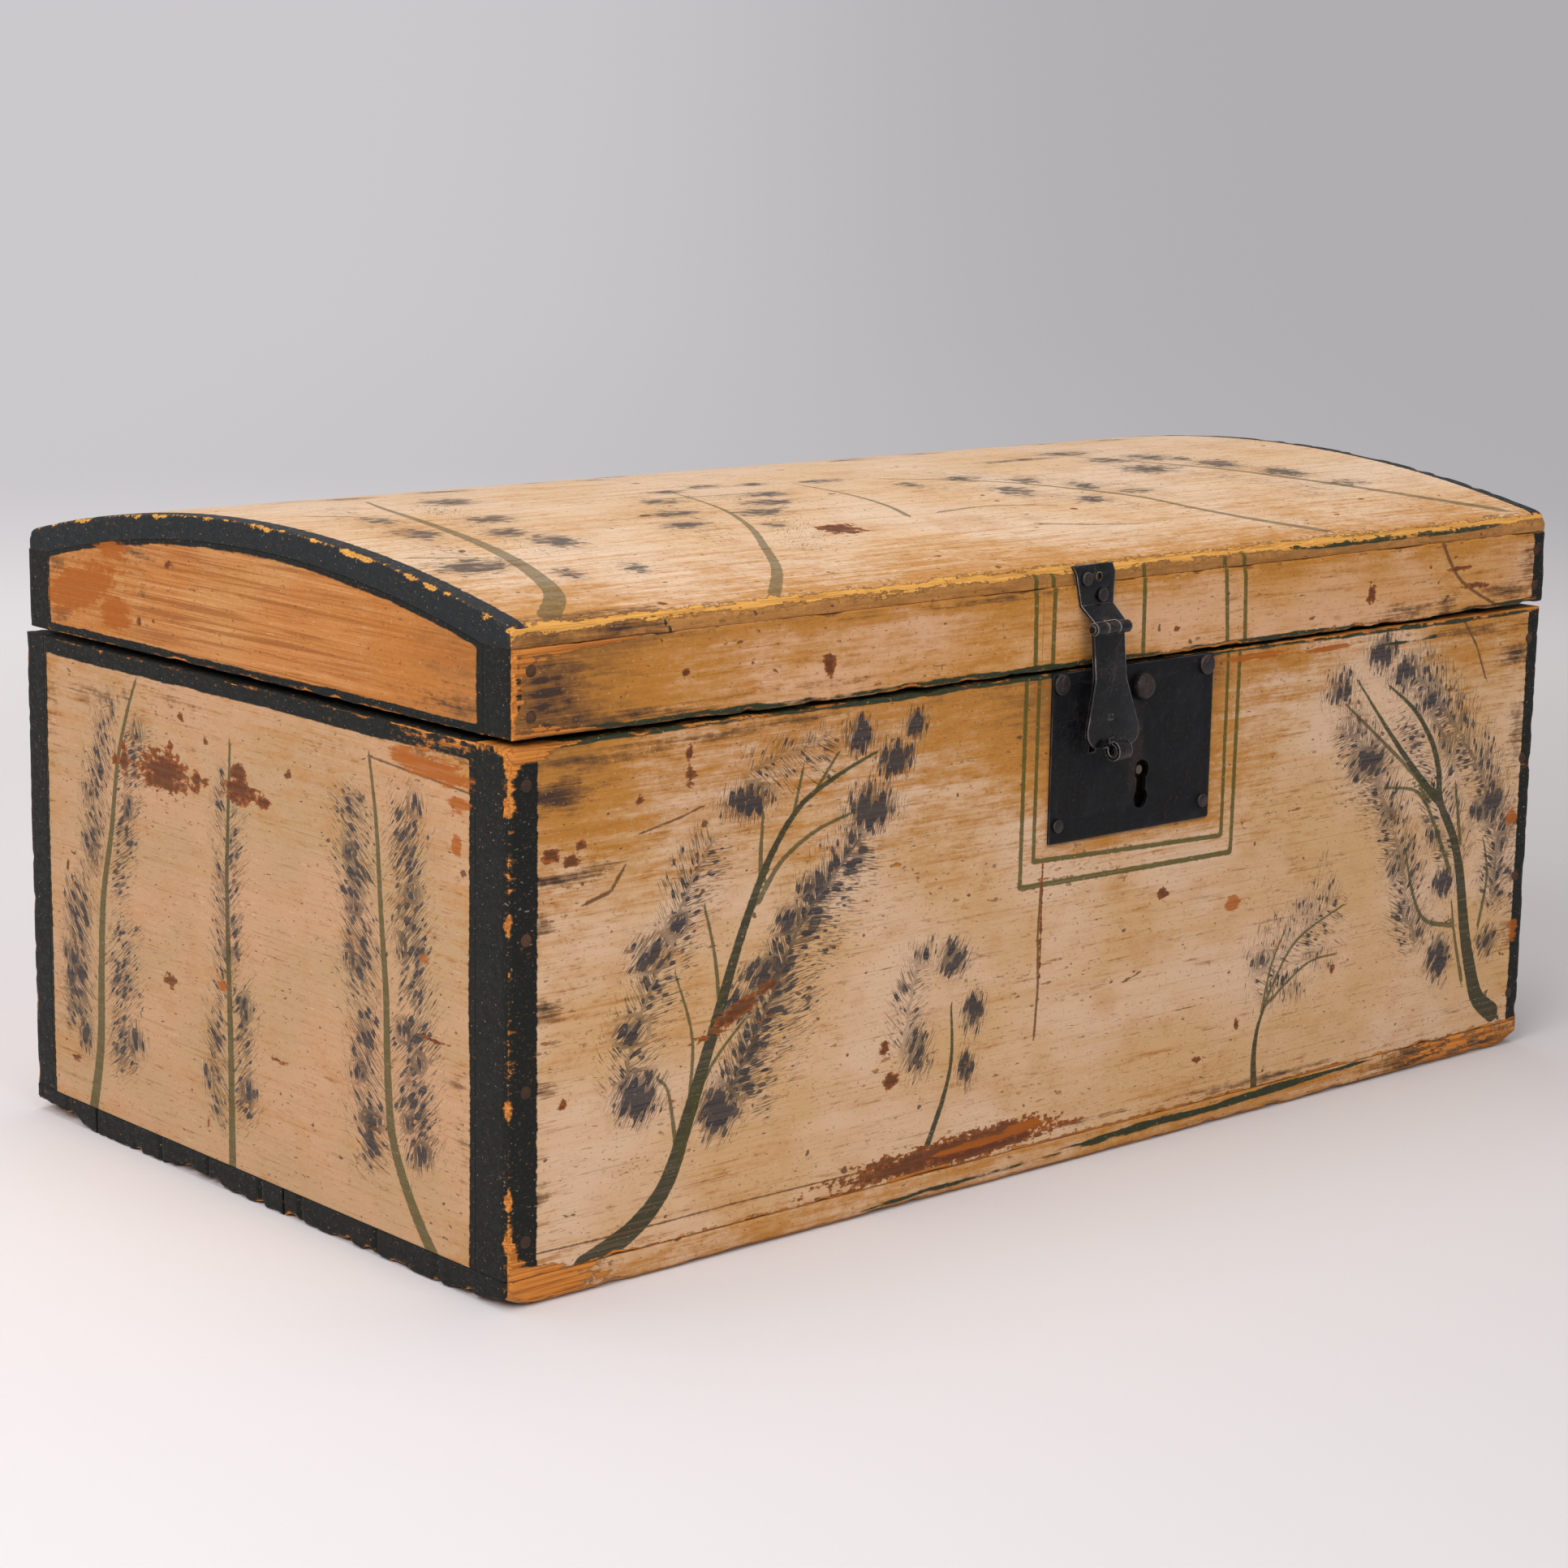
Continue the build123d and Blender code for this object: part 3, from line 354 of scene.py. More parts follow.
seam_radius = 0.35 * MM
LEFT, RIGHT, FRONT, BACK, UNDER, TOP = (0, -1), (0, 1), (1, -1), (1, 1), (2, -1), (2, 1)


def inner_face(points, low, high, side):
    """1 on a side's points, apart from its outermost rows, which it shares with the sides round it."""
    others = [other for other in (LEFT, RIGHT, FRONT, BACK, UNDER, TOP) if other[0] != side[0]]
    margin = np.min([side_distance(points, low, high, other) for other in others], axis=0)
    return 1.0 * ((side_distance(points, low, high, side) < touch) & (margin > touch))


def worn_points(places, low, high, worn, chips, seed):
    """The lattice after wear, and each point's distance to the nearest worn edge and depth of chipping.

    `worn` lists the edges that show, as (side, side, radius). Other edges meet a neighbour and stay sharp.
    """
    points = places.copy()
    wander = 0.75 + 0.5 * random_field(places, 28 * MM, seed)
    for axes in ((0, 1), (0, 2), (1, 2)):
        radius = np.full(len(points), seam_radius)
        for one, other, size in worn:
            if {one[0], other[0]} == set(axes):
                near = on_side(places, low, high, one) & on_side(places, low, high, other)
                radius = np.where(near, size * wander, radius)
        round_pair(points, low, high, axes, radius)
    rim = np.full(len(points), 0.06)
    for one, other, _ in worn:
        gaps = (side_distance(places, low, high, side) for side in (one, other))
        rim = np.minimum(rim, np.hypot(*gaps))
    nick = smooth(random_field(places, (11 * MM, 7 * MM, 9 * MM), seed + 5), 0.55, 0.95)
    nick = nick + 0.5 * smooth(random_field(places, 3.2 * MM, seed + 9), 0.55, 1.0)
    depth = chips * nick * np.exp(-((rim / (2.6 * MM)) ** 2))
    core_low = np.minimum(low + 5 * MM, (low + high) / 2)
    core_high = np.maximum(high - 5 * MM, (low + high) / 2)
    inwards = np.clip(points, core_low, core_high) - points
    inwards /= np.maximum(np.linalg.norm(inwards, axis=1), 1e-9)[:, None]
    points += inwards * depth[:, None]
    return points, rim, depth


# The black border's value says how far inside its edge a point lies. These two are all paint and all black.
no_black, all_black = -6.0, 6.0
no_blot = -3.0
no_line = {"offset": 99.0, "half": -1.0}
plain_fields = dict.fromkeys(("dab", "dab_along", "dab_across", "tone", "scorch", "wear", "inside", "thin"), 0.0)
plain_fields |= {"black": no_black, "rust": no_blot, "amber": no_blot}
for kind in ("stem", "twig", "pin", "rule", "crack"):
    plain_fields |= {f"{kind}_{key}": value for key, value in no_line.items()}


def lattice_piece(name, body, replaced, points, quads, fields, finish):
    """A mesh piece from points and quads, with values stored on its points for its finish to read.

    A value that a piece doesn't give is stored as the plain one, because a missing attribute reads as 0,
    which for a line's side distance would mean that every point lies on a line.
    """
    fields = {key: np.full(len(points), plain) for key, plain in plain_fields.items()} | fields
    piece = quad_object(name, points, quads)
    for key, values in fields.items():
        attribute = piece.data.attributes.new(key, "FLOAT", "POINT")
        attribute.data.foreach_set("value", values.astype(np.float32))
    piece.data.materials.append(finish)
    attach(piece, body)
    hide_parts(*replaced)
    print(f"{name}: {len(points)} points, {2 * len(quads)} triangles")


# %% [markdown]
# ## Lines and dabs of paint
# The sprigs are stems drawn with a loaded brush and leaves pressed on with a thumb or a rag. A picture is not
# needed for them: a stem is a curve, and what the finish must know at each point is how far the point lies to
# the side of the nearest stem, how far up the stem, and how wide the stem is there. Interpolated over the grid
# these values stay exact between points, so thin lines come out crisp on a coarse mesh.


# %% Brush lines
def brush_line(points, width, tip=None, samples=9):
    """A smooth line through given points, in millimetres, with its width at the base and at the tip.

    Each run is a Catmull-Rom curve: a cubic whose slope at a point is half the step between its neighbours.
    """
    knots = np.array([points[0], *points, points[-1]], float)
    share = np.linspace(0, 1, samples, endpoint=False)[:, None]
    runs = []
    for before, start, end, after in zip(knots, knots[1:], knots[2:], knots[3:]):
        slope_in, slope_out = (end - before) / 2, (after - start) / 2
        runs.append(
            start
            + slope_in * share
            + (3 * (end - start) - 2 * slope_in - slope_out) * share**2
            + (2 * (start - end) + slope_in + slope_out) * share**3
        )
    return np.concatenate([*runs, knots[-1:]]), width, width if tip is None else tip


def brush_lines(*rows):
    """Brush lines, each from its points, its width at the base and its width at the tip."""
    return [brush_line(*row) for row in rows]


def beside(flat, line):
    """For each point: distance up the line, signed distance to its side, and the line's length, in mm."""
    start, end = line[:-1], line[1:]
    run = end - start
    length = np.linalg.norm(run, axis=1)
    travelled = np.concatenate([[0], np.cumsum(length)])
    best = np.full(len(flat), 1e9)
    up_line = np.zeros(len(flat))
    side = np.ones(len(flat))
    for k in range(len(run)):
        rel = flat - start[k]
        share = np.clip(rel @ run[k] / length[k] ** 2, 0, 1)
        gap = rel - share[:, None] * run[k]
        distance = np.hypot(gap[:, 0], gap[:, 1])
        closer = distance < best
        best = np.where(closer, distance, best)
        up_line = np.where(closer, travelled[k] + share * length[k], up_line)
        side = np.where(closer, np.sign(run[k][0] * rel[:, 1] - run[k][1] * rel[:, 0] + 1e-12), side)
    return up_line, side * best, travelled[-1]


def on_shown(shown, values, plain):
    """Values worked out for the shown points only, with a plain value for all the other points."""
    everywhere = np.full(len(shown), plain)
    everywhere[shown] = values
    return everywhere


# Side distances change sign between two lines, so a line is only shown this near to it, a lattice step or so.
line_margin = 2.5


def line_fields(flat, shown, **kinds):
    """For each kind of line: the nearest one's side distance, and its half width where it is near, else -1."""
    flat = flat[shown]
    fields = {}
    for kind, lines in kinds.items():
        offset, half = (np.full(len(flat), value) for value in no_line.values())
        for line, base, tip in lines:
            up_line, side, length = beside(flat, line)
            width = (base + (tip - base) * up_line / length) / 2
            nearer = np.abs(side) < np.abs(offset)
            offset = np.where(nearer, side, offset)
            half = np.where(nearer, np.where(np.abs(side) < width + line_margin, width, no_line["half"]), half)
        for key, values in (("offset", offset), ("half", half)):
            fields[f"{kind}_{key}"] = on_shown(shown, values, no_line[key])
    return fields


def dab_fields(flat, shown, guides, blobs, slant=52.0):
    """How thickly leaves are dabbed at each point, and coordinates along and across the dabs' strokes.

    A guide is a line with bands of dabs beside it: (line, side, start, end, offset, spread, strength).
    Its strokes lean away from the line by `slant` degrees. A blob is an ellipse of heavier paint:
    (across, up, half width, half height, strength, lean), and its strokes lean by `lean` degrees.
    """
    flat = flat[shown]
    thick = np.zeros(len(flat))
    nearest = np.full(len(flat), 1e9)
    along = flat[:, 1].copy()
    across = flat[:, 0].copy()
    turn = math.radians(slant)
    for number, (line, bands) in enumerate(guides):
        up_line, side, length = beside(flat, line)
        closer = np.abs(side) < nearest
        nearest = np.where(closer, np.abs(side), nearest)
        out = np.abs(side)
        apart = 300 * np.sign(side) + 1000 * number
        along = np.where(closer, up_line * math.cos(turn) + out * math.sin(turn) + apart, along)
        across = np.where(closer, out * math.cos(turn) - up_line * math.sin(turn), across)
        for way, start, end, offset, spread, strength in bands:
            share = up_line / length
            start, end = max(start, 0.06), min(end, 0.94)
            window = smooth(share, start - 0.05, start + 0.05) * (1 - smooth(share, end - 0.05, end + 0.05))
            beat = 0.88 + 0.12 * np.sin(up_line / 5.5 + 2.0 * way)
            gap = (side * way - offset) / spread
            thick = np.maximum(thick, strength * beat * window * np.exp(-(gap**2)))
    for x, z, wide, high, strength, *lean in blobs:
        turn = math.radians(lean[0] if lean else 82)
        right, up = flat[:, 0] - x, flat[:, 1] - z
        reach = np.hypot(right / wide, up / high)
        density = strength * np.exp(-((reach / 1.12) ** 2))
        stronger = density > np.maximum(thick, 0.12)
        along = np.where(stronger, flat[:, 0] * math.cos(turn) + flat[:, 1] * math.sin(turn), along)
        across = np.where(stronger, flat[:, 1] * math.cos(turn) - flat[:, 0] * math.sin(turn), across)
        thick = np.maximum(thick, density)
    return {
        "dab": on_shown(shown, thick, 0.0),
        "dab_along": on_shown(shown, along * MM, 0.0),
        "dab_across": on_shown(shown, across * MM, 0.0),
    }


def blot_field(flat, shown, blots):
    """How deep inside the nearest worn or rusted patch each point lies: 1 in its middle, below 0 outside.

    A patch is an ellipse: (across, up, half width, half height), and may be turned by a fifth number, in degrees.
    """
    inside = np.full(len(flat), no_blot)
    for x, z, wide, high, *lean in blots:
        turn = math.radians(lean[0] if lean else 0)
        right, up = flat[:, 0] - x, flat[:, 1] - z
        along = right * math.cos(turn) + up * math.sin(turn)
        off = up * math.cos(turn) - right * math.sin(turn)
        inside = np.maximum(inside, 1 - np.hypot(along / wide, off / high))
    return np.where(shown, inside, no_blot)


# %% [markdown]
# ## Old paint over pine
# The finish is built as the trunk was: bare pine with its grain, a buff milk paint that the grain shows through,
# honey-brown stain near the edges, then the sprigs and borders, and last the wear that uncovers the wood. Where
# each layer begins is a stored value plus noise, which gives the ragged edge that a brush or a knock leaves.

# %% Painted pine
buff_pink = (0.74, 0.500, 0.325)
buff_yellow = (0.66, 0.405, 0.195)
honey = (0.50, 0.205, 0.027)
umber = (0.16, 0.072, 0.026)
soot = (0.035, 0.024, 0.022)
pine_light = (0.72, 0.270, 0.048)
pine_dark = (0.32, 0.098, 0.018)
aged_light = (0.50, 0.31, 0.150)
aged_dark = (0.27, 0.145, 0.062)
amber_stain = (0.41, 0.108, 0.009)
olive = (0.066, 0.066, 0.017)
pin_green = (0.088, 0.083, 0.013)
line_green = (0.032, 0.040, 0.018)
stem_green = (0.022, 0.031, 0.016)
leaf_slate = (0.030, 0.031, 0.040)
leaf_hair = (0.062, 0.050, 0.036)
border_black = (0.0085, 0.0105, 0.0085)
rust_brown = (0.14, 0.038, 0.013)
rust_orange = (0.37, 0.105, 0.022)
speck_brown = (0.11, 0.048, 0.022)
speck_pale = (0.80, 0.60, 0.42)
ring_pale = (0.78, 0.46, 0.20)


def along_grain(grain, long, fine):
    """The size of a patch that is long along the grain's axis and fine across it."""
    return tuple(long if axis == grain else fine for axis in "XYZ")


def painted_pine(
    name, grain, paints=(buff_pink, buff_yellow), toning=1.0, border=border_black, bare=(pine_light, pine_dark),
    brushwork=1.0, grainy=1.0, clouds=0.75, stain=honey,
):
    """Milk paint with sprigs over pine. The grain runs along the axis `grain`.

    `toning` scales the stain near the edges, `brushwork` how strongly stems and leaves cover, `grainy` how the grain
    shows, and `clouds` how much the stain drifts from place to place. `stain` is its colour.
    """
    f = Finish(name)
    fibre = f.noise(along_grain(grain, 60, 0.8), detail=4, rough=0.62, warp=0.2)
    streak = f.noise(along_grain(grain, 130, 4.5), detail=3, rough=0.55, warp=0.5, offset=(3, 1, 2))
    patch = f.noise((80, 80, 50), detail=3, offset=(5, 2, 8))
    crumb = f.noise((3.2, 3.2, 2.4), detail=3, rough=0.6)
    tear = f.noise(along_grain(grain, 17, 3.0), detail=4, rough=0.65, offset=(9, 4, 1))
    centred = {"fibre": fibre, "streak": streak, "patch": patch, "crumb": crumb, "tear": tear}
    centred = {key: f.math("SUBTRACT", value, 0.5) for key, value in centred.items()}

    def varied(base, **shares):
        """`base` plus each named noise by its share."""
        return f.plus(base, *((centred[key], share) for key, share in shares.items()))

    wood = f.glaze(bare[0], (fibre, 0.36, 0.66, 1, bare[1]), (streak, 0.50, 0.70, 0.45, bare[1]))

    paint = f.mix(f.step(patch, 0.38, 0.62), *paints)
    cloud = f.noise((26, 26, 17), detail=4, rough=0.6, offset=(1, 8, 3))
    scuff = f.noise(along_grain(grain, 13, 1.0), detail=3, rough=0.7, offset=(6, 6, 2))
    paint = f.glaze(
        paint, (cloud, 0.48, 0.74, 0.30, honey), (streak, 0.48, 0.76, 0.22 * grainy, honey),
        (fibre, 0.54, 0.78, 0.34 * grainy, umber), (scuff, 0.62, 0.74, 0.5, speck_pale),
        (scuff, 0.40, 0.30, 0.45, umber),
    )
    rubbed = f.math("MULTIPLY", f.step(tear, 0.56, 0.70), f.step(fibre, 0.40, 0.60))
    paint = f.mix(f.math("MULTIPLY", rubbed, 0.5), paint, bare[1])

    if grainy > 1:
        ring = f.noise(along_grain(grain, 110, 1.7), detail=3, rough=0.6, warp=0.6, offset=(8, 2, 6))
        over = grainy - 1
        paint = f.glaze(paint, (ring, 0.49, 0.62, over, bare[1]), (ring, 0.44, 0.34, 0.5 * over, ring_pale))

    stained = varied(f.field("tone"), tear=1.3, patch=1.9 * clouds, streak=0.6, crumb=0.45, fibre=0.7)
    paint = f.glaze(
        paint, (stained, 0.18, 0.90, 0.92 * toning, stain), (stained, 0.80, 1.50, 0.6 * toning, umber)
    )

    strokes = {"X": f.field("dab_along"), "Y": f.field("dab_across"), "Z": 0.0}
    strokes = f.add("ShaderNodeCombineXYZ", strokes, "Vector")
    hair = f.math("SUBTRACT", f.noise((7.5, 0.58, 1), detail=3, rough=0.6, warp=0.45, vector=strokes), 0.5)
    clump = f.math("SUBTRACT", f.noise((10, 6, 1), detail=2, vector=strokes, offset=(7, 3, 0)), 0.5)
    print_gap = {"Vector": f.mapped((8.0, 3.6, 1), (1, 2, 0), strokes), "Scale": 1.0}
    print_gap = f.add("ShaderNodeTexVoronoi", print_gap, "Distance", voronoi_dimensions="2D")
    density = f.field("dab")
    pressed = f.plus(density, (clump, 0.9), (f.math("SUBTRACT", 0.36, print_gap), 1.15), (hair, 0.6))
    brushed = f.plus(f.math("MULTIPLY", density, 1.2), (clump, 0.9), (hair, 3.6))
    there = f.step(density, 0.03, 0.14)
    hairs = f.math("MULTIPLY", there, f.step(brushed, 0.46, 0.74, 0, 0.74 * brushwork))
    solid = f.math("MULTIPLY", there, f.step(pressed, 0.56, 0.65, 0, 0.95 * brushwork))
    ridges = f.step(fibre, 0.35, 0.62, 1.0, 0.72)
    paint = f.mix(hairs, paint, leaf_hair)
    paint = f.mix(f.math("MULTIPLY", solid, ridges), paint, leaf_slate)

    stem_colour = f.mix(f.step(f.field("stem_half"), 0.3, 1.6), olive, stem_green)
    for prefix, colour, strength in (
        ("stem", stem_colour, 0.95 * brushwork), ("twig", olive, 0.85 * brushwork), ("pin", pin_green, 0.92),
        ("rule", pin_green, 0.92), ("crack", umber, 0.95),
    ):
        inside = f.math("SUBTRACT", f.field(f"{prefix}_half"), f.math("ABSOLUTE", f.field(f"{prefix}_offset")))
        inside = varied(inside, crumb=0.9)
        dry = f.step(fibre, 0.45, 0.75, strength, strength * 0.8)
        paint = f.mix(f.math("MULTIPLY", f.step(inside, -0.30, 0.25), dry), paint, colour)

    smoked = varied(f.field("scorch"), tear=1.3, fibre=1.0, crumb=0.5)
    paint = f.glaze(paint, (smoked, 0.22, 0.62, 0.75, umber), (smoked, 0.55, 0.90, 0.85, soot))

    band = f.step(varied(f.field("black"), tear=2.6), -0.3, 0.3)
    band_colour = f.mix(f.field("thin"), border, line_green)
    paint = f.mix(band, paint, f.glaze(band_colour, (crumb, 0.62, 0.80, 0.35, speck_brown)))

    grit = f.noise((1.7, 1.7, 1.3), detail=2, rough=0.6, offset=(3, 9, 1))
    fleck = f.noise(along_grain(grain, 4.2, 1.3), detail=2, offset=(2, 7, 5))
    spot = f.noise((7, 7, 5), detail=1, offset=(4, 4, 9))
    paint = f.glaze(
        paint, (grit, 0.63, 0.74, 0.55, umber), (grit, 0.35, 0.26, 0.30, speck_pale),
        (fleck, 0.68, 0.73, 0.8, speck_brown), (spot, 0.765, 0.79, 0.85, speck_brown),
    )

    rust_edge = varied(f.field("rust"), crumb=1.9, tear=1.6)
    rusted = f.step(rust_edge, -0.05, 0.10)
    rust_tone = f.glaze(rust_orange, (rust_edge, 0.05, 0.55, 1, rust_brown), (fibre, 0.42, 0.62, 0.8, umber))
    paint = f.mix(rusted, paint, rust_tone)
    amber = varied(f.field("amber"), tear=2.0, crumb=0.8, fibre=0.8)
    soaked = f.math("MULTIPLY", f.step(amber, -0.2, 0.2), f.step(fibre, 0.36, 0.62, 0.70, 0.98))
    paint = f.mix(soaked, paint, amber_stain)

    worn = varied(f.field("wear"), tear=-2.4, crumb=1.2)
    bared = f.step(worn, 0.62, 0.74)
    colour = f.mix(bared, f.glaze(paint, (worn, 0.42, 0.64, 0.7, umber)), wood)
    aged = f.glaze(aged_light, (fibre, 0.36, 0.66, 1, aged_dark), (streak, 0.46, 0.72, 0.5, aged_dark))
    colour = f.mix(f.field("inside"), colour, aged)

    height = f.math("MULTIPLY", fibre, -0.45)
    height = f.plus(height, (crumb, 0.30), (bared, -0.9), (rusted, -0.4), (solid, 0.2), (band, 0.5))
    gloss = f.plus(f.step(crumb, 0.3, 0.7, 0.48, 0.66), (bared, 0.15))
    return f.finish(colour, gloss, f.bump(height, 0.35), specular=0.2)


# %% [markdown]
# ## Case front
# The front board carries two tall sprigs, two small ones and a double pinstripe frame round the lock. It covers
# the edges of the two ends, so its own end grain shows on the trunk's sides, painted black-green. Behind the
# lock plate the board is cut away for the lock, and a keyhole that opened onto paint would look false, so the
# lattice points under the lock are pushed back to the depth of that cut.

# %% Shared sizes, read from the frame
front_low, front_high = map(np.array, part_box("case_front_board"))
rail_low, rail_high = map(np.array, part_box("lid_front_rail"))
lock_low, lock_high = map(np.array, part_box("lock_case"))
plate_low, plate_high = map(np.array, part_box("lock_plate"))
case_low_x, case_high_x, front_y = front_low[0], front_high[0], front_low[1]
print("front board", front_low, front_high, "rail", rail_low, rail_high)


def at_ends(places, low, high):
    """Whether each point lies on a long board's end grain."""
    return (places[:, 0] < low[0] + touch) | (places[:, 0] > high[0] - touch)


def lattice(low, high, steps):
    """Lattice points of a box, and its skin."""
    lines = [spaced(low[axis], high[axis], steps[axis]) for axis in range(3)]
    index, quads = box_skin(*(len(line) for line in lines))
    return np.stack([lines[axis][index[:, axis]] for axis in range(3)], 1), quads


def wear_field(rim, depth, reach, bias=0.0):
    """How worn each point is: 1 at an edge, falling to 0 at `reach`, and more where the wood is chipped."""
    return np.clip(1 - rim / reach, 0, 1) * 0.85 + depth / (0.9 * MM) + bias


def edge_tone(flat, low, high, top, side, foot):
    """Honey stain: strongest at a panel's edges, each with its own reach in millimetres."""
    x, z = flat.T
    from_top = np.exp(-(high[1] - z) / top)
    from_foot = np.exp(-(z - low[1]) / foot)
    from_sides = np.exp(-np.minimum(x - low[0], high[0] - x) / side)
    return np.clip(0.8 * from_top + 0.4 * from_foot + 0.6 * from_sides, 0, 1)


def smudge_field(flat, shown, smudges):
    """Soft dark smudges: each falls from its strength at the centre, as a bell curve."""
    right, up = flat[shown].T
    dark = np.zeros(len(right))
    for x, z, wide, high, strength in smudges:
        dark = np.maximum(dark, strength * np.exp(-(((right - x) / wide) ** 2) - ((up - z) / high) ** 2))
    return on_shown(shown, dark, 0.0)


# %% Front sprigs
def ruled_line(corners, width):
    """Straight strokes from corner to corner, drawn against a rule."""
    return np.array(corners, float), width, width


front_stems = brush_lines(
    ([
        (-281, 11), (-256, 21), (-239, 36), (-228, 61), (-215, 95), (-201, 132), (-187, 161), (-171, 181),
        (-152, 191), (-129, 199)
    ], 9.5, 1.2),
    ([
        (296, 19), (283, 29), (276, 46), (270, 66), (264, 95), (257, 114), (246, 132), (243, 149), (236, 164),
        (222, 180), (203, 193)
    ], 10.0, 1.2),
    ([(246, 131), (226, 149), (205, 170), (180, 197)], 4.6, 1.0),
    ([(-94, 25), (-85, 45), (-81, 62), (-82, 84)], 3.2, 1.2),
    ([(117, 11), (116, 28), (118, 41), (122, 50)], 4.6, 1.6),
)
twig_thickening = 1.45
front_twigs = [(line, twig_thickening * base, twig_thickening * tip) for line, base, tip in brush_lines(
    ([(-192, 145), (-180, 160), (-162, 170), (-143, 175)], 1.9, 0.9),
    ([(-191, 153), (-191, 167), (-190, 181)], 1.7, 1.0),
    ([(-212, 107), (-215, 128), (-220, 146)], 1.5, 0.8),
    ([(-227, 70), (-226, 95), (-235, 122)], 1.3, 0.7),
    ([(-234, 52), (-238, 74), (-243, 80)], 1.5, 0.9),
    ([(-232, 46), (-218, 78), (-199, 97)], 1.7, 0.8),
    ([(-174, 178), (-169, 197)], 1.3, 0.8),
    ([(-162, 187), (-150, 201)], 1.3, 0.8),
    ([(270, 40), (263, 62), (259, 80)], 1.8, 0.9),
    ([(259, 69), (238, 75), (227, 92), (221, 112)], 1.8, 0.8),
    ([(256, 97), (238, 128), (226, 140), (204, 144)], 2.0, 0.9),
    ([(281, 66), (286, 90), (282, 108)], 1.6, 0.8),
    ([(263, 111), (257, 140)], 1.8, 0.9),
    ([(238, 137), (213, 157), (172, 187)], 1.8, 0.8),
    ([(123, 53), (142, 78), (176, 91)], 1.2, 0.7),
    ([(120, 48), (126, 70), (134, 84)], 1.1, 0.7),
    ([(122, 50), (150, 66), (172, 68)], 1.1, 0.7),
)]
front_guides = [(brush_line(points, 1)[0], bands) for points, bands in (
    (
        [(-212, 58), (-196, 84), (-184, 105), (-172, 128), (-152, 150), (-128, 172)],
        [(1, 0.0, 0.97, 1, 11, 0.80), (-1, 0.0, 0.97, 2, 15, 0.72), (-1, 0.0, 0.8, 14, 14, 0.46)],
    ),
    (
        [(-262, 66), (-256, 100), (-240, 132), (-226, 160), (-210, 182)],
        [(1, 0.0, 0.96, 2, 12, 0.52), (-1, 0.0, 1.0, 2, 14, 0.56)],
    ),
    (
        [(-206, 196), (-186, 202), (-164, 206), (-150, 212)],
        [(1, 0.0, 1.0, 2, 10, 0.36), (-1, 0.0, 1.0, 4, 14, 0.46)],
    ),
    (
        [(286, 62), (293, 96), (284, 132), (262, 160), (238, 184), (205, 208)],
        [(1, 0.0, 0.98, 2, 13, 0.62), (-1, 0.05, 1.0, 4, 15, 0.60)],
    ),
    (
        [(236, 50), (224, 84), (218, 108), (200, 142), (184, 166), (160, 188)],
        [(1, 0.0, 1.0, 3, 13, 0.54), (-1, 0.0, 1.0, 4, 14, 0.58)],
    ),
    (
        [(106, 62), (134, 74), (160, 90), (180, 100)],
        [(1, 0.0, 1.0, 3, 19, 0.40), (-1, 0.0, 1.0, 3, 21, 0.40)],
    ),
    (
        [(-112, 62), (-108, 80), (-104, 100), (-96, 112)],
        [(1, 0.0, 1.0, 2, 10, 0.46), (-1, 0.0, 1.0, 2, 9, 0.42)],
    ),
)]
front_guides.append((front_stems[1][0], [(1, 0.45, 0.95, 9, 9, 0.56), (-1, 0.45, 0.95, 9, 9, 0.58)]))
front_blobs = [(x, z, 0.9 * wide, 0.92 * high, *rest) for x, z, wide, high, *rest in (
    (-198, 187, 13, 8, 1.10), (-138, 207, 9, 8, 1.10), (-107, 208, 7, 7, 1.05), (-118, 195, 11, 8, 1.10),
    (-131, 176, 14, 10, 1.15), (-254, 76, 12, 11, 1.15, 60), (-257, 102, 10, 7, 0.95, 45),
    (-247, 132, 12, 9, 0.95, 50), (-234, 142, 7, 6, 0.90, 50), (-212, 62, 12, 11, 1.15, 60),
    (-188, 114, 13, 9, 0.98, 55), (-200, 104, 10, 8, 0.95, 55), (-175, 134, 10, 7, 0.90, 60),
    (-166, 148, 8, 6, 0.80), (-81, 105, 9, 8, 1.10, 60), (-98, 109, 12, 8, 0.55), (-102, 68, 9, 13, 0.78, 60),
    (-69, 80, 7, 9, 1.05, 75), (-72, 56, 6, 9, 0.92, 75), (118, 73, 9, 6, 0.72), (150, 94, 14, 9, 0.42),
    (133, 60, 24, 15, 0.42), (160, 68, 14, 10, 0.36), (136, 62, 4, 3, 0.8), (152, 70, 5, 3, 0.7),
    (197, 210, 11, 9, 1.10), (214, 198, 13, 10, 0.92), (234, 184, 12, 9, 0.90), (167, 195, 13, 10, 0.80),
    (191, 158, 17, 10, 1.02, 40), (178, 176, 14, 9, 0.66), (250, 160, 10, 8, 0.74), (287, 127, 9, 12, 1.12, 70),
    (276, 124, 8, 7, 0.95), (252, 91, 9, 8, 1.05), (250, 54, 9, 12, 1.12, 60), (289, 57, 9, 9, 0.92, 60),
    (213, 106, 9, 11, 0.72, 60), (226, 80, 10, 9, 0.64), (296, 106, 7, 9, 0.74), (242, 116, 8, 8, 0.78),
    (206, 130, 11, 8, 0.70, 40),
)]
front_pins = [ruled_line([(-41.9, 224), (-42.6, 129.6), (93.5, 127.6), (94.6, 224)], 2.4)]
front_rules = [ruled_line([(-34.2, 224), (-34.8, 140.2), (86.6, 136.2), (86.8, 224)], 2.2)]
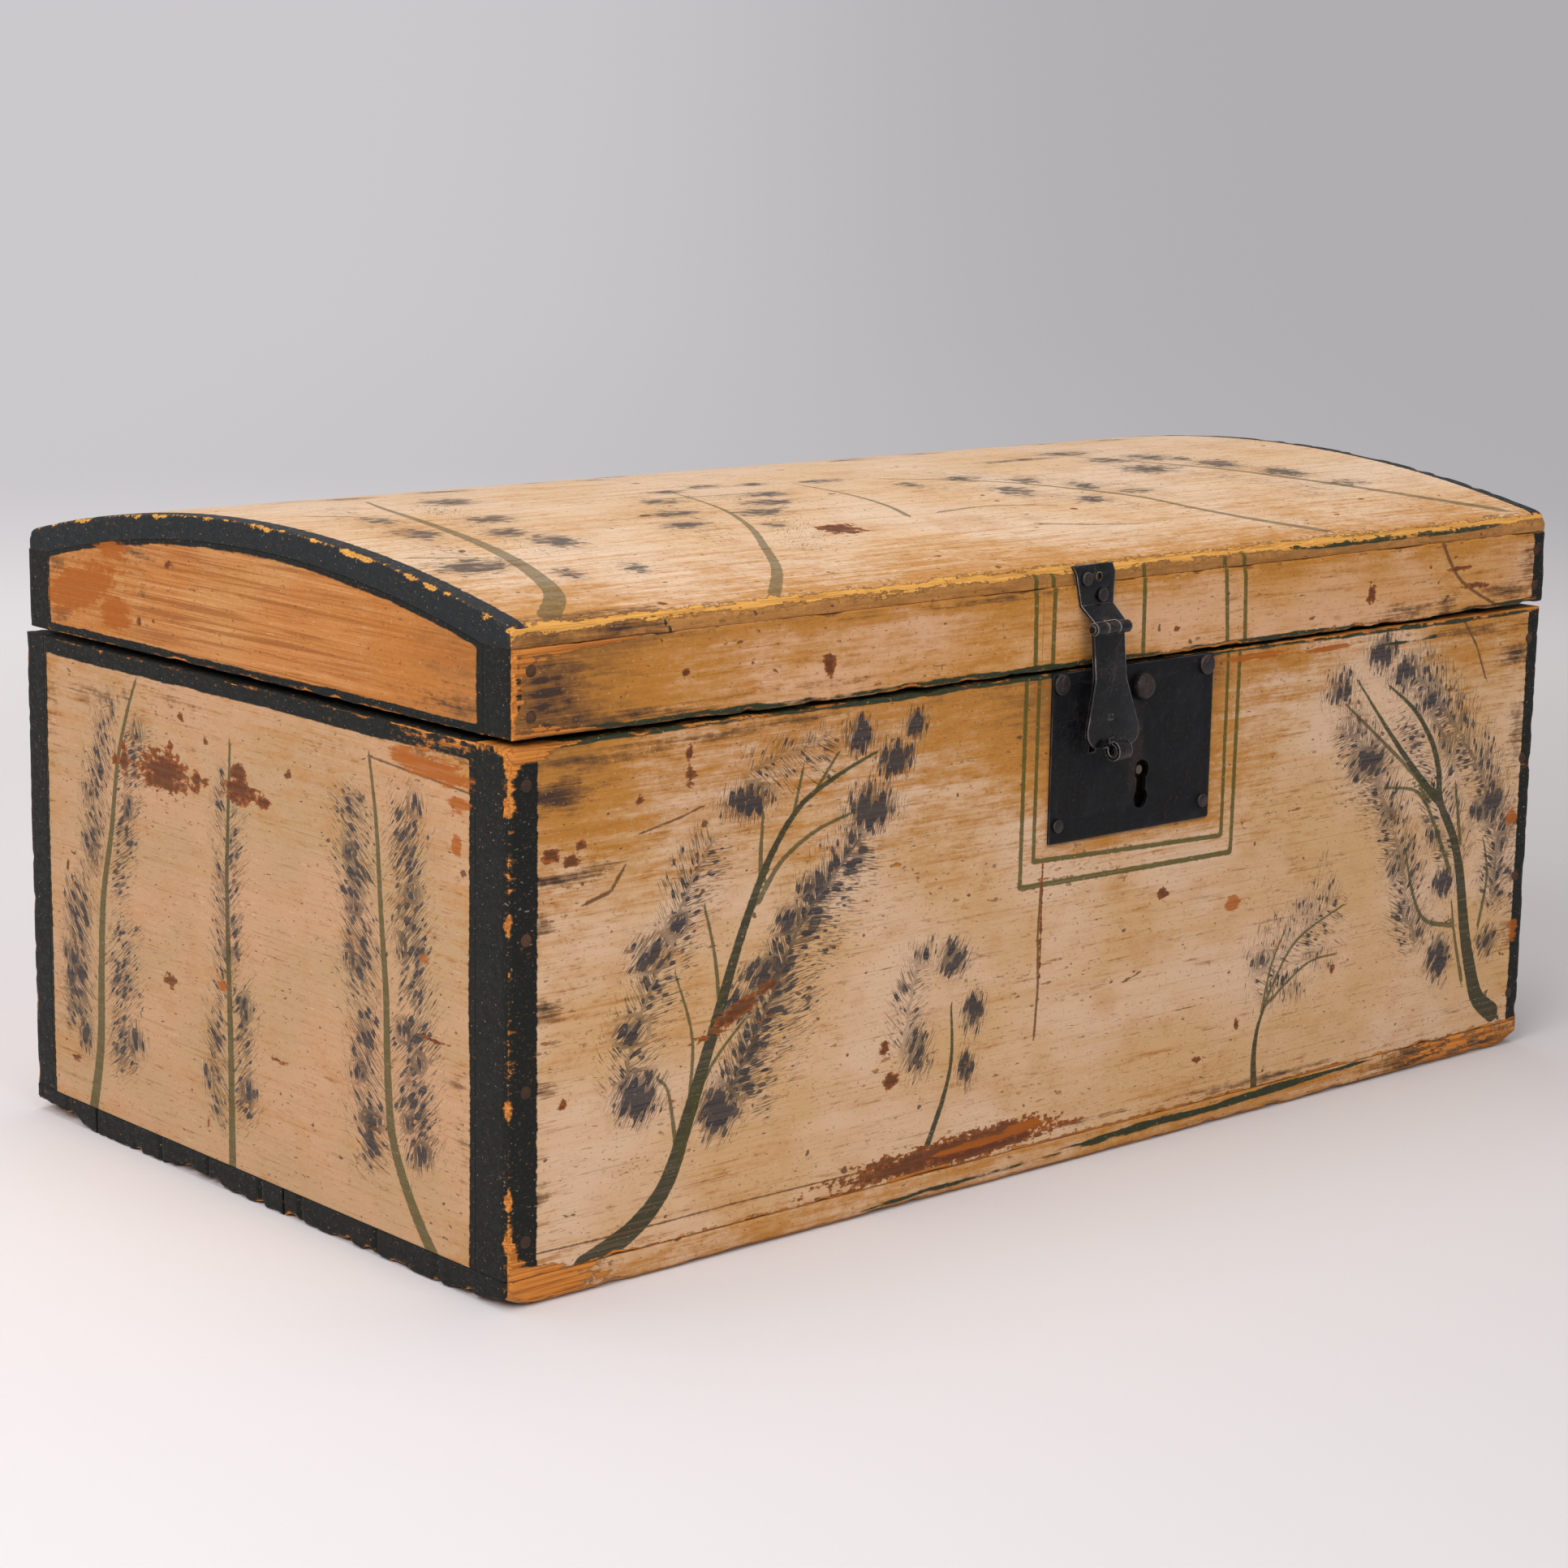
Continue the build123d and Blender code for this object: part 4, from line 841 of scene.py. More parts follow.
front_rust = [
    (-86, 19.5, 66, 5.6, 2), (-50, 21, 30, 5.0, 3), (-202, 102, 21, 3.4, 24), (49, 114, 3.6, 3.0),
    (-117, 57, 5, 3.6), (-121, 72, 2.6, 3.0), (-297, 178, 5, 3.0), (-288, 174, 4, 2.4), (-283, 180, 3, 2.2),
    (-228, 201, 2.4, 4.2), (-29, 112, 1.0, 34), (249, 187, 3, 1.6), (170, 61, 1.8, 2.4), (103, 45, 2.0, 2.6),
    (77, 33, 3.2, 1.6), (-291, 79, 3, 2), (-254, 194, 2.4, 2.2), (-110, 17.5, 34, 3.6, 3), (-58, 17, 46, 3.4, 2),
    (-229, 211, 1.6, 3.6),
]
front_amber = [
    (97, 103, 4.5, 4.0), (-60, 20, 34, 1.8, 2), (-36, 23, 12, 1.4, 3), (303, 118, 4, 3), (309, 60, 4, 5),
    (-8, 217, 34, 1.3), (104, 216.5, 22, 1.5), (156, 215.5, 24, 1.4),
]

# Dark smudges along the grain: (across, up, half width, half height, strength).
front_smudges = [
    (-296, 201, 20, 7, 0.9), (-292, 168, 26, 2.4, 0.85), (-270, 171, 20, 2.0, 0.6), (-300, 118, 10, 5, 0.75),
    (-302, 150, 8, 6, 0.7), (-302, 85, 9, 4, 0.5), (-303, 44, 8, 5, 0.6), (-280, 213, 46, 3.0, 0.75),
    (-222, 216, 60, 2.0, 0.55), (-180, 217, 40, 2.0, 0.6), (300, 200, 14, 6, 0.75), (303, 160, 9, 22, 0.55),
    (304, 110, 8, 18, 0.5), (304, 64, 8, 16, 0.5), (270, 214, 40, 3, 0.6), (250, 24, 40, 3, 0.35),
    (-30, 18, 80, 2.0, 0.5), (120, 16, 90, 2.2, 0.55), (60, 60, 16, 1.2, 0.3),
]
front_cracks = [ruled_line(*crack) for crack in (
    ([(-318, 21.5), (-270, 20.5), (-200, 21.0), (-96, 20.0)], 0.7),
    ([(-29.5, 128), (-30.5, 108), (-29.5, 84), (-31, 62)], 1.4), ([(-253, 181), (-232, 185), (-222, 188)], 0.8),
    ([(256, 221), (268, 206), (276, 190)], 1.2), ([(-280, 157), (-268, 160), (-262, 168)], 1.6),
    ([(26.2, 78), (27.8, 78.4)], 1.6), ([(33.6, 80), (34.8, 80.2)], 1.2),
)]
print(f"front: {len(front_stems)} stems, {len(front_twigs)} twigs and {len(front_blobs)} leaf prints")

# %% Front board
plate_middle, plate_half = (24.7, 184), (51.3, 38)
places, quads = lattice(front_low, front_high, (1.85 * MM, 5 * MM, 1.75 * MM))
front_worn = [
    (LEFT, FRONT, 3.2 * MM), (RIGHT, FRONT, 3.0 * MM), (FRONT, TOP, 1.4 * MM), (FRONT, UNDER, 0.8 * MM),
    (LEFT, TOP, 1.0 * MM), (RIGHT, TOP, 1.0 * MM),
]
points, rim, depth = worn_points(places, front_low, front_high, front_worn, 1.5 * MM, 11)
flat = places[:, [0, 2]] / MM
x, z = flat.T
on_front = places[:, 1] < front_y + 1 * MM


def behind(low, high):
    """Whether each point of the front lies between two corners."""
    return on_front & ((flat > low[[0, 2]] / MM) & (flat < high[[0, 2]] / MM)).all(1)


under_plate = behind(plate_low, plate_high + [0, 0, MM])
points[under_plate, 1] = np.maximum(points[under_plate, 1], front_y + 1.3 * MM)
points[behind(lock_low, lock_high), 1] = lock_high[1] + 0.6 * MM
plate_halo = np.exp(-np.hypot(*np.maximum(np.abs(flat - plate_middle) - plate_half, 0).T) / 16)

# Black bands down both ends, and green strokes along the top. Each value is millimetres inside its band.
left_band = np.where(x > -308.4, 4.8 - np.abs(x + 308.4), 4.8)
right_band = 7.2 - np.abs(x - 315.0)
top_line = np.minimum(1.0 - np.abs(z - 220.4) - 1.4 * (random_field(places, 60 * MM, 3) - 0.4), 0.8)
short_line = 0.7 - np.abs(z - 213.5 - 0.02 * (x - 212)) - 3 * smooth(np.abs(x - 212), 22, 34)
thin = 1.0 * (np.maximum(top_line, short_line) > np.maximum(left_band, right_band))
on_ends = at_ends(places, front_low, front_high)
on_shaded_rim = places[:, 2] > front_high[2] - touch
black = np.maximum.reduce([left_band, right_band, top_line, short_line])
# End grain is black paint. The top face at the gap under the lid is painted black, as painted shade for the dark gap.
black = np.where(on_ends | on_shaded_rim, all_black, np.where(on_front, black, no_black))

# Wear: the edges, two bare triangles at the left end, and the rubbed front of the top face.
reach = (2.4 + 4.6 * smooth(-places[:, 0], 0.280, 0.305)) * MM
torn = 9 * (random_field(places, (14 * MM, 14 * MM, 6 * MM), 92) - 0.5)
top_triangle = smooth((-293 - x) - 2.1 * (221 - z) + torn, -5, 8)
foot_triangle = smooth((-300 - x) - 1.1 * (z - 12), -5, 7)
middle_height = smooth(z, 22, 40) * (1 - smooth(z, 184, 204))
patchy = 0.5 * (random_field(places, (60 * MM, 60 * MM, 16 * MM), 91) - 0.5) - 0.36 * smooth(-x, 302, 313)
bias = patchy * middle_height + 0.85 * np.maximum(top_triangle, foot_triangle) * ~on_ends - 0.25 * on_ends
wear = wear_field(rim, depth, reach, bias)
wear *= 1 - smooth(z, 211, 216) * (np.abs(x) < 292) * (0.55 - 0.55 * smooth(x, 130, 190))
rim_depth = (places[:, 1] - front_y) / MM
patches = smooth(random_field(places, (26 * MM, 6 * MM, 40 * MM), 93) - rim_depth / 16, 0.10, 0.40)
rubbed_rim = 0.30 + (0.25 + 0.55 * smooth(x, 40, 130)) * patches
# The front 7 mm of the top face is rubbed. Behind it the face keeps its painted black shade, little worn.
rubbed_rim = np.where(rim_depth < 7, rubbed_rim, np.minimum(wear, 0.25))
wear = np.where(on_shaded_rim & (x > -280), rubbed_rim, wear)

tone = 0.90 * edge_tone(flat, (-318, 12), (318, 221), 40, 20, 9) + 0.50 * plate_halo - 0.22 * smooth(x, 70, 200)
tone = tone + 0.26 * smooth(z, 95, 190) * (1 - 0.6 * smooth(x, 90, 200))
fields = {
    **line_fields(flat, on_front, stem=front_stems, twig=front_twigs, crack=front_cracks),
    **line_fields(flat, on_front, pin=front_pins, rule=front_rules),
    **dab_fields(flat, on_front, front_guides, front_blobs),
    "rust": blot_field(flat, on_front, front_rust),
    "amber": blot_field(flat, on_front, front_amber),
    "black": black,
    "thin": thin,
    "tone": np.where(on_front, tone, 0.0),
    "scorch": np.maximum(smudge_field(flat, on_front, front_smudges), 0.95 * on_front * smooth(-x, 309, 313)),
    "wear": wear,
    "inside": inner_face(places, front_low, front_high, BACK),
}
case_paint = painted_pine("painted_case", "X")
lattice_piece("painted_front", "case", ["case_front_board"], points, quads, fields, case_paint)


# %% [markdown]
# ## Case ends and back
# Each end is a wide board between the front and the back. The photographed end has three feathered sprigs, a
# black-green border under the lid, rust stains where an end handle sat, and a knot. The right end and the back
# aren't in the photograph, so they get sprigs of the same kind, and fewer of them on the back.


# %% A board with its painted side
def painted_board(name, body, node, finish, steps, worn, chips, seed, face, paint, shape=None, rim_side=None):
    """A worn board that replaces a CAD node. `face` is its painted side, and `paint` gives that side's fields.

    `paint` is called with a board: its lattice places, `rim` and `depth` of wear, `x` and `z` across and up the
    painted side in millimetres, `flat_low` and `flat_high` its bounds there, which points are `shown` on that
    side, and which lie on its `ends`. `shape` bends the worn lattice into its final form. `rim_side` is the side
    at the gap between case and lid. It is painted black and kept little worn: painted shade for the dark gap,
    which reads as old black paint when the lid is open. The side opposite to the painted one is bare aged pine,
    like the whole inside of the trunk.
    """
    low, high = map(np.array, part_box(node))
    places, quads = lattice(low, high, steps)
    points, rim, depth = worn_points(places, low, high, worn, chips, seed)
    axis = face[0]
    plane = [other for other in range(3) if other != axis]
    flat = places[:, plane] / MM
    board = SimpleNamespace(
        places=places, rim=rim, depth=depth, low=low, high=high, flat=flat, x=flat[:, 0], z=flat[:, 1],
        flat_low=low[plane] / MM, flat_high=high[plane] / MM, ends=at_ends(places, low, high),
        shown=side_distance(places, low, high, face) < 1 * MM,
    )
    fields = paint(board)
    if rim_side:
        # The rim at the gap between case and lid is painted black and little worn: painted shade for the dark gap.
        on_shaded_rim = side_distance(places, low, high, rim_side) < touch
        fields["black"] = np.where(on_shaded_rim, all_black, fields["black"])
        fields["wear"] = np.where(on_shaded_rim, np.minimum(fields["wear"], 0.25), fields["wear"])
    fields.setdefault("inside", inner_face(places, low, high, (axis, -face[1])))
    lattice_piece(name, body, [node], shape(points) if shape else points, quads, fields, finish)


def rounded(face, radius, *others):
    """The worn edges of a long board: both ends of its painted side, and any others, as (side, side, radius)."""
    return [(LEFT, face, radius), (RIGHT, face, radius), *others]


def shown_tone(b, *reach):
    """Honey stain at the edges of the painted side."""
    return edge_tone(b.flat, b.flat_low, b.flat_high, *reach)


end_finish = painted_pine("painted_end", "Y", ((0.595, 0.350, 0.192), (0.53, 0.335, 0.172)), toning=0.8)
end_stems = brush_lines(
    ([(127, 12), (120, 42), (118, 76), (115, 111), (107, 142), (101, 173), (93, 195), (85, 211)], 7.0, 1.8),
    ([(14, 12), (14, 61), (15, 108), (15, 142), (13, 173), (11.5, 195)], 5.4, 1.6),
    ([
        (-131, 10), (-116, 28), (-103.5, 51), (-100, 76),
        (-99, 111), (-96, 142), (-93, 179), (-88.5, 205)
    ], 6.6, 1.8),
)
end_guides = [(line, bands) for (line, _, _), bands in zip(end_stems, (
    [
        (1, 0.12, 0.47, 18, 14, 0.62), (1, 0.50, 0.94, 11, 11, 0.60),
        (-1, 0.14, 0.50, 19, 14, 0.72), (-1, 0.48, 0.92, 14, 11, 0.62),
    ],
    [
        (1, 0.10, 0.46, 10, 11, 0.58), (1, 0.42, 0.96, 5, 9, 0.50),
        (-1, 0.08, 0.42, 10, 10, 0.58), (-1, 0.38, 0.98, 5, 9, 0.50),
    ],
    [
        (1, 0.16, 0.52, 18, 16, 0.70), (1, 0.50, 0.95, 20, 14, 0.66),
        (-1, 0.20, 0.54, 15, 14, 0.66), (-1, 0.50, 0.97, 17, 14, 0.68),
    ],
))]
end_blobs = [(y, z, 0.85 * wide, 0.95 * high, strength) for y, z, wide, high, strength in (
    (143, 76, 9, 19, 0.80), (132, 45, 7, 9, 0.92), (121, 130, 8, 7, 0.75), (127, 155, 7, 6, 0.72),
    (90, 51, 9, 9, 0.78), (93, 154, 6, 9, 0.72), (84, 189, 7, 7, 0.66), (3, 83, 7, 9, 0.72), (31, 48, 7, 9, 0.62),
    (1, 48, 8, 8, 0.76), (15, 106, 6, 7, 0.55), (-75, 164, 8, 7, 0.72), (-78, 142, 8, 6, 0.66),
    (-75, 120, 7, 6, 0.72), (-80, 75, 9, 6, 0.72), (-88, 57, 12, 6, 0.78), (-112, 98, 9, 8, 0.72),
    (-121, 88, 8, 6, 0.72), (-123, 50, 8, 8, 0.85), (-117, 155, 9, 7, 0.66), (-119, 190, 9, 7, 0.60),
    (-114, 62, 8, 7, 0.66), (-110, 133, 7, 8, 0.7),
)]
end_rust = [
    (64, 175, 21, 9.5), (95, 176, 3.4, 8), (103, 175, 2.4, 3), (38, 175, 5, 4), (5, 176, 13, 5.5), (5, 183, 6, 6),
    (-13, 174, 6, 2.6), (30, 176, 3, 2), (61, 84, 6, 3.2), (58, 187, 3, 2.4), (-31, 189, 2.6, 2.6),
    (49, 201, 2.6, 2.2), (145, 120, 1.8, 2.6), (-130, 99, 12, 1.1), (32, 27, 1.0, 5), (30, 193, 2, 3),
    (140, 32, 5, 1.4), (-22, 66, 6, 1.2),
]
end_amber = [(-129, 207, 25, 5.0, 4), (-147, 195, 7, 3, 4), (-146, 180, 3, 5), (-125, 130, 3, 2), (20, 90, 4, 2)]
end_smudges = [
    (118, 201, 26, 5, 0.45), (155, 190, 9, 22, 0.35), (60, 206, 30, 4, 0.35), (-60, 204, 26, 4, 0.3),
    (150, 60, 7, 34, 0.25), (-150, 60, 6, 30, 0.30), (93, 204, 8, 6, 0.5), (-146, 84, 6, 2.4, 0.6),
]


def end_paint(b):
    """The painted end: three sprigs, the border under the lid, rust from the lost handle."""
    border = np.maximum.reduce([
        b.z - (b.flat_high[1] - 7.6), 4.0 - (b.x - b.flat_low[0]), 2.2 - (b.flat_high[0] - b.x)
    ])
    ragged = 1.2 * (random_field(b.places, 40 * MM, 8) - 0.5)
    bare_corner = smooth(-b.x, 96, 118) * smooth(b.z, 201 - 0.05 * b.x, 205 - 0.05 * b.x)
    crack = ruled_line([(-90, 205), (-130, 202.5), (-158, 200.5)], 0.9)
    return {
        **line_fields(b.flat, b.shown, twig=end_stems, crack=[crack]),
        **dab_fields(b.flat, b.shown, end_guides, end_blobs, 48.0),
        "scorch": smudge_field(b.flat, b.shown, end_smudges),
        "black": np.where(b.shown, border + ragged, no_black),
        "tone": np.where(b.shown, 0.68 * shown_tone(b, 30, 14, 5), 0.0),
        "rust": blot_field(b.flat, b.shown, end_rust),
        "amber": blot_field(b.flat, b.shown, end_amber),
        "wear": 0.7 * wear_field(b.rim, b.depth, 1.6 * MM) + np.where(b.shown, 0.45 * bare_corner, 0.0),
    }


for side, name in ((LEFT, "left"), (RIGHT, "right")):
    painted_board(
        f"painted_{name}_end", "case", f"case_{name}_end", end_finish,
        (5 * MM, 2 * MM, 2 * MM), [(side, TOP, 1.0 * MM)], 0.7 * MM, 21, side, end_paint, rim_side=TOP,
    )

# %% Back board
back_stems = brush_lines(
    ([(-232, 14), (-214, 40), (-204, 80), (-190, 120), (-166, 160)], 8.0, 1.5),
    ([(226, 14), (214, 44), (206, 84), (186, 128), (160, 166)], 8.0, 1.5),
)
back_bands = [(way, 0.2, 0.98, 14, 10, 0.62) for way in (1, -1)]
back_guides = [(line, back_bands) for line, _, _ in back_stems]


def back_paint(b):
    """The unseen back: two plain sprigs, end grain painted black-green."""
    return {
        **line_fields(b.flat, b.shown, stem=back_stems),
        **dab_fields(b.flat, b.shown, back_guides, []),
        "black": np.where(b.ends, all_black, np.where(b.shown, 5.0 - (316 - np.abs(b.x)), no_black)),
        "tone": np.where(b.shown, shown_tone(b, 30, 24, 12), 0.0),
        "wear": wear_field(b.rim, b.depth, 4.0 * MM) - 0.25 * b.ends,
    }


painted_board(
    "painted_back", "case", "case_back_board", case_paint, (3.2 * MM, 5 * MM, 3.2 * MM),
    rounded(BACK, 3 * MM, (BACK, TOP, 1.6 * MM)), 1.3 * MM, 31, BACK, back_paint, rim_side=TOP,
)

# %% [markdown]
# ## Bottom boards
# Three boards run lengthwise under the case. Their front edge is rubbed down to orange wood with a few patches of
# green left, and their ends were painted black-green like the rest of the trunk's end grain, chewed and split
# along the lower edge. The splits are real notches: points near a crack's line are pushed up and inwards.

# %% Bottom boards
cracks_y = np.array([-132, -90, -36, -6.6, 34, 72, 150]) * MM


def bottom_wear(points):
    """Chews the lower edges at both ends and opens a few cracks in the end grain."""
    end_gap = np.minimum(points[:, 0] - case_low_x, case_high_x - points[:, 0])
    near_end = np.exp(-((end_gap / (8 * MM)) ** 2))
    low_down = 1 - smooth(points[:, 2], 0.5 * MM, 8 * MM)
    broken = smooth(random_field(points * [0, 1, 0], 41 * MM, 6), 0.50, 0.66)
    nibbled = smooth(random_field(points * [0, 1, 0], 9 * MM, 4), 0.55, 0.8)
    corner = smooth(np.abs(points[:, 1]), 0.150, 0.175)
    points[:, 2] += (2.6 * broken + 0.9 * nibbled + 2.0 * corner) * MM * near_end * low_down
    gap = np.abs(points[:, 1, None] - cracks_y).min(1)
    split = np.exp(-((gap / (0.7 * MM)) ** 2)) * np.exp(-((end_gap / (5 * MM)) ** 2))
    points[:, 0] += np.sign(-points[:, 0]) * split * 2.2 * MM
    return points


def bottom_paint(b):
    """Tan front edge with a green line low down, bare where it is knocked most, and black-green end grain."""
    on_front = (b.places[:, 1] < b.low[1] + 0.6 * MM) & (b.low[1] < front_y + 1 * MM)
    x, z = b.places[:, 0] / MM, b.places[:, 2] / MM
    end_grain = (np.minimum(b.places[:, 0] - b.low[0], b.high[0] - b.places[:, 0]) < 3 * MM) & ~on_front
    ragged = random_field(b.places * [1, 0, 0], 45 * MM, 15) - 0.5
    broad = 0.9 + 1.1 * smooth(x, -40, 60) * (1 - smooth(x, 125, 175))
    green = broad + 1.2 * ragged - np.abs(z - 4.0 - 0.023 * (x + 100) - 1.5 * ragged)
    green = np.minimum(green - 5 * smooth(np.abs(x - 25), 165, 195), 0.85)
    knocked = smooth(-x, 255, 285) + 0.75 * smooth(x, 190, 250) + 0.55 * smooth(z, 2.0, 0.5)
    scorched = smooth(x, 150, 230) * smooth(random_field(b.places, 40 * MM, 33), 0.3, 0.8)
    end_wear = wear_field(b.rim, b.depth, 1.4 * MM) * 0.55
    front_wear = wear_field(b.rim, b.depth, 1.6 * MM) + knocked
    return {
        "black": np.where(b.ends | end_grain, all_black, np.where(on_front, green, no_black)),
        "wear": np.where(b.ends, end_wear, np.where(on_front, front_wear, 0.0)),
        "thin": 1.0 * on_front * ~b.ends,
        "inside": 1.0 * (~end_grain & ~on_front),
        "tone": np.where(on_front, 0.60, 0.3),
        "scorch": np.where(on_front, 0.75 * scorched, 0.0),
    }


bottom_finish = painted_pine("bottom_pine", "X")
for name, face in (("front", FRONT), ("middle", None), ("back", BACK)):
    worn = [(face, UNDER, 4 * MM), *rounded(face, 3 * MM)] if face else []
    painted_board(
        f"worn_{name}_bottom", "case", f"bottom_{name}_board", bottom_finish,
        (3.4 * MM, 1.7 * MM if face else 1.5 * MM, 2.4 * MM), [*worn, *rounded(UNDER, 1.4 * MM)],
        1.8 * MM, 41, FRONT, bottom_paint, bottom_wear,
    )

# %% [markdown]
# ## Lid
# The lid is a frame of two rails and two arched ends under one domed board. The rails carry on the pinstripes of
# the lock's frame, and the left end of the front rail is scorched dark. The arched ends are the warmest orange
# of the whole trunk. Each arched end is a flat lattice whose upper side is lifted onto the arch.

# %% Lid rails
lid_finish = painted_pine("painted_lid", "X", ((0.72, 0.42, 0.235), (0.66, 0.345, 0.13)))
rail_pins = [
    ruled_line([(x, 222), (x + lean, 262)], 2.5)
    for x, lean in ((-36.9, -0.6), (-26.5, 0.4), (30.2, -0.3), (86.0, -3.0), (97.7, -1.6))
]
rail_rust = [
    (-156, 237, 3.2, 5.2), (186, 238, 3.4, 5.4), (250, 245, 12, 1.3), (268, 236, 11, 1.4), (-231, 242, 2, 1.6),
    (52, 234, 2.2, 1.4),
]
rail_smudges = [
    (-255, 228, 40, 3, 0.6), (-160, 230, 60, 2.4, 0.35), (290, 232, 26, 6, 0.65), (306, 244, 10, 14, 0.6),
    (-288, 230, 14, 3, 0.85), (-290, 250, 13, 3, 0.7), (-300, 229, 8, 1.9, 1.3), (-302, 235, 6, 1.7, 1.2),
    (-299, 240.5, 9, 1.8, 1.3), (-303, 246, 6, 1.7, 1.2), (-300, 251, 7, 1.6, 1.1), (-289, 236, 5, 3, 0.9),
    (215, 228, 20, 4, 0.6), (243, 228, 10, 7, 0.55), (2, 236, 6, 18, 0.35), (-60, 256, 60, 1.6, 0.4),
]
rail_cracks = [brush_line([(236, 262), (243, 250), (252, 240), (266, 232), (280, 226)], 2.2, 1.4)]


def rail_paint(b):
    """Pinstripes, a thin green line along the lower edge, black end bands, dark scorch at the left."""
    x, z = b.x, b.z
    from_left = x - b.flat_low[0]
    to_right = b.flat_high[0] - x
    wander = 1.8 * (random_field(b.places, 50 * MM, 6) - 0.4)
    line = np.minimum(0.8 - np.abs(z - (b.flat_low[1] + 1.5)) - wander, 0.8)
    band = 6.2 - np.abs(to_right - 4.5)
    patch = 2.6 - from_left + 5.0 * (random_field(b.places, 12 * MM, 61) - 0.5)
    scorch = 0.62 * np.exp(-(((from_left - 20) / 19) ** 2)) * (0.35 + 0.65 * smooth(z, 257, 244))
    scorch = np.maximum(scorch, smudge_field(b.flat, b.shown, rail_smudges))
    top_strip = 66 - from_left - 10 * (258.5 - z)
    foot_strip = 60 - from_left - 10 * (z - 223.9)
    left_strip = 12 - from_left + 8 * (random_field(b.places, 16 * MM, 62) - 0.5)
    bared = 0.72 * smooth(np.maximum.reduce([top_strip, foot_strip, left_strip]), -6, 9)
    kept = 0.5 - 0.5 * smooth(x, -30, 0) * (1 - smooth(x, 150, 170))
    wear = wear_field(b.rim, b.depth, 2.6 * MM) * (1 - smooth(230 - z, 0, 5) * kept * (from_left > 40))
    wear = wear * (1 - 0.75 * smooth(z, 251, 255) * (from_left > 60))
    tone = np.clip(shown_tone(b, 8, 26, 9) + 0.9 * np.exp(-from_left / 170), 0, 1.3)
    return {
        **line_fields(b.flat, b.shown, pin=rail_pins, crack=rail_cracks),
        "black": np.where(b.ends, all_black, np.where(b.shown, np.maximum.reduce([line, band, patch]), no_black)),
        "thin": 1.0 * (b.shown & ~b.ends & (line > np.maximum(band, patch))),
        "tone": np.where(b.shown, tone, 0),
        "scorch": np.where(b.shown, scorch, 0.0),
        "rust": blot_field(b.flat, b.shown, rail_rust),
        "wear": wear + np.where(b.shown, bared, 0.0) - 0.25 * b.ends,
    }


def sag(points):
    """Brings the rail's lower edge down between its ends, which narrows the gap under the lid."""
    to_ends = np.minimum(points[:, 0] - rail_low[0], rail_high[0] - points[:, 0])
    lower = 1 - smooth(points[:, 2], rail_low[2] + 0.5 * MM, rail_low[2] + 6 * MM)
    points[:, 2] -= 1.1 * MM * lower * smooth(to_ends, 10 * MM, 120 * MM)
    return points


def back_rail_paint(b):
    """The unseen back rail: plain paint with black ends."""
    return {
        "black": np.where(b.ends, all_black, no_black),
        "tone": np.where(b.shown, shown_tone(b, 12, 30, 9), 0.0),
        "wear": wear_field(b.rim, b.depth, 3.4 * MM) - 0.25 * b.ends,
    }


painted_board(
    "painted_front_rail", "lid", "lid_front_rail", lid_finish, (2.1 * MM, 4 * MM, 1.7 * MM),
    rounded(FRONT, 3 * MM, (FRONT, UNDER, 1.2 * MM), (FRONT, TOP, 0.9 * MM), (LEFT, UNDER, 1 * MM)),
    1.2 * MM, 51, FRONT, rail_paint, sag, UNDER,
)
painted_board(
    "painted_back_rail", "lid", "lid_back_rail", lid_finish, (3.2 * MM, 5 * MM, 3.2 * MM),
    rounded(BACK, 3 * MM, (BACK, UNDER, 1.2 * MM)), 1.0 * MM, 53, BACK, back_rail_paint, rim_side=UNDER,
)

# %% Arched ends and the domed board
rail_top = rail_high[2]
inner_half = -rail_high[1]
dome_low, dome_high = map(np.array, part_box("lid_top_board"))
arch_low, arch_high = map(np.array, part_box("lid_left_end"))
crown_top = dome_high[2]
crown_inner_rise = 19.0 * MM
crown_thickness = crown_top - rail_top - crown_inner_rise
shoulder_y = 163.0 * MM
shoulder_drop = crown_thickness + crown_inner_rise - 11.5 * MM
crown_radius = (shoulder_y**2 + shoulder_drop**2) / (2 * shoulder_drop)
arch_radius = (inner_half**2 + crown_inner_rise**2) / (2 * crown_inner_rise)


def arch_z(y):
    """Height of the arch under the dome, and flat on the rails."""
    span = np.minimum(np.abs(y), inner_half)
    return rail_top + crown_inner_rise - arch_radius + np.sqrt(arch_radius**2 - span**2)


def crown_z(y):
    """Height of the outside of the dome."""
    return crown_top - crown_radius + np.sqrt(crown_radius**2 - y**2)


def lift_to_arch(points):
    """Stretches each upright of the flat end between its foot and the arch above it."""
    share = (points[:, 2] - arch_low[2]) / (arch_high[2] - arch_low[2])
    points[:, 2] = arch_low[2] + share * (arch_z(points[:, 1]) - arch_low[2])
    return points


arch_finish = painted_pine(
    "painted_arch", "Y", ((0.58, 0.225, 0.060), (0.61, 0.300, 0.105)), toning=0.75, grainy=1.7,
    stain=(0.50, 0.165, 0.022),
)
arch_smudges = [
    (152, 256, 12, 9, 0.5), (90, 266, 26, 6, 0.45), (148, 233, 18, 5, 0.5), (-140, 233, 34, 5, 0.5),
    (80, 250, 5, 9, 0.4),
]


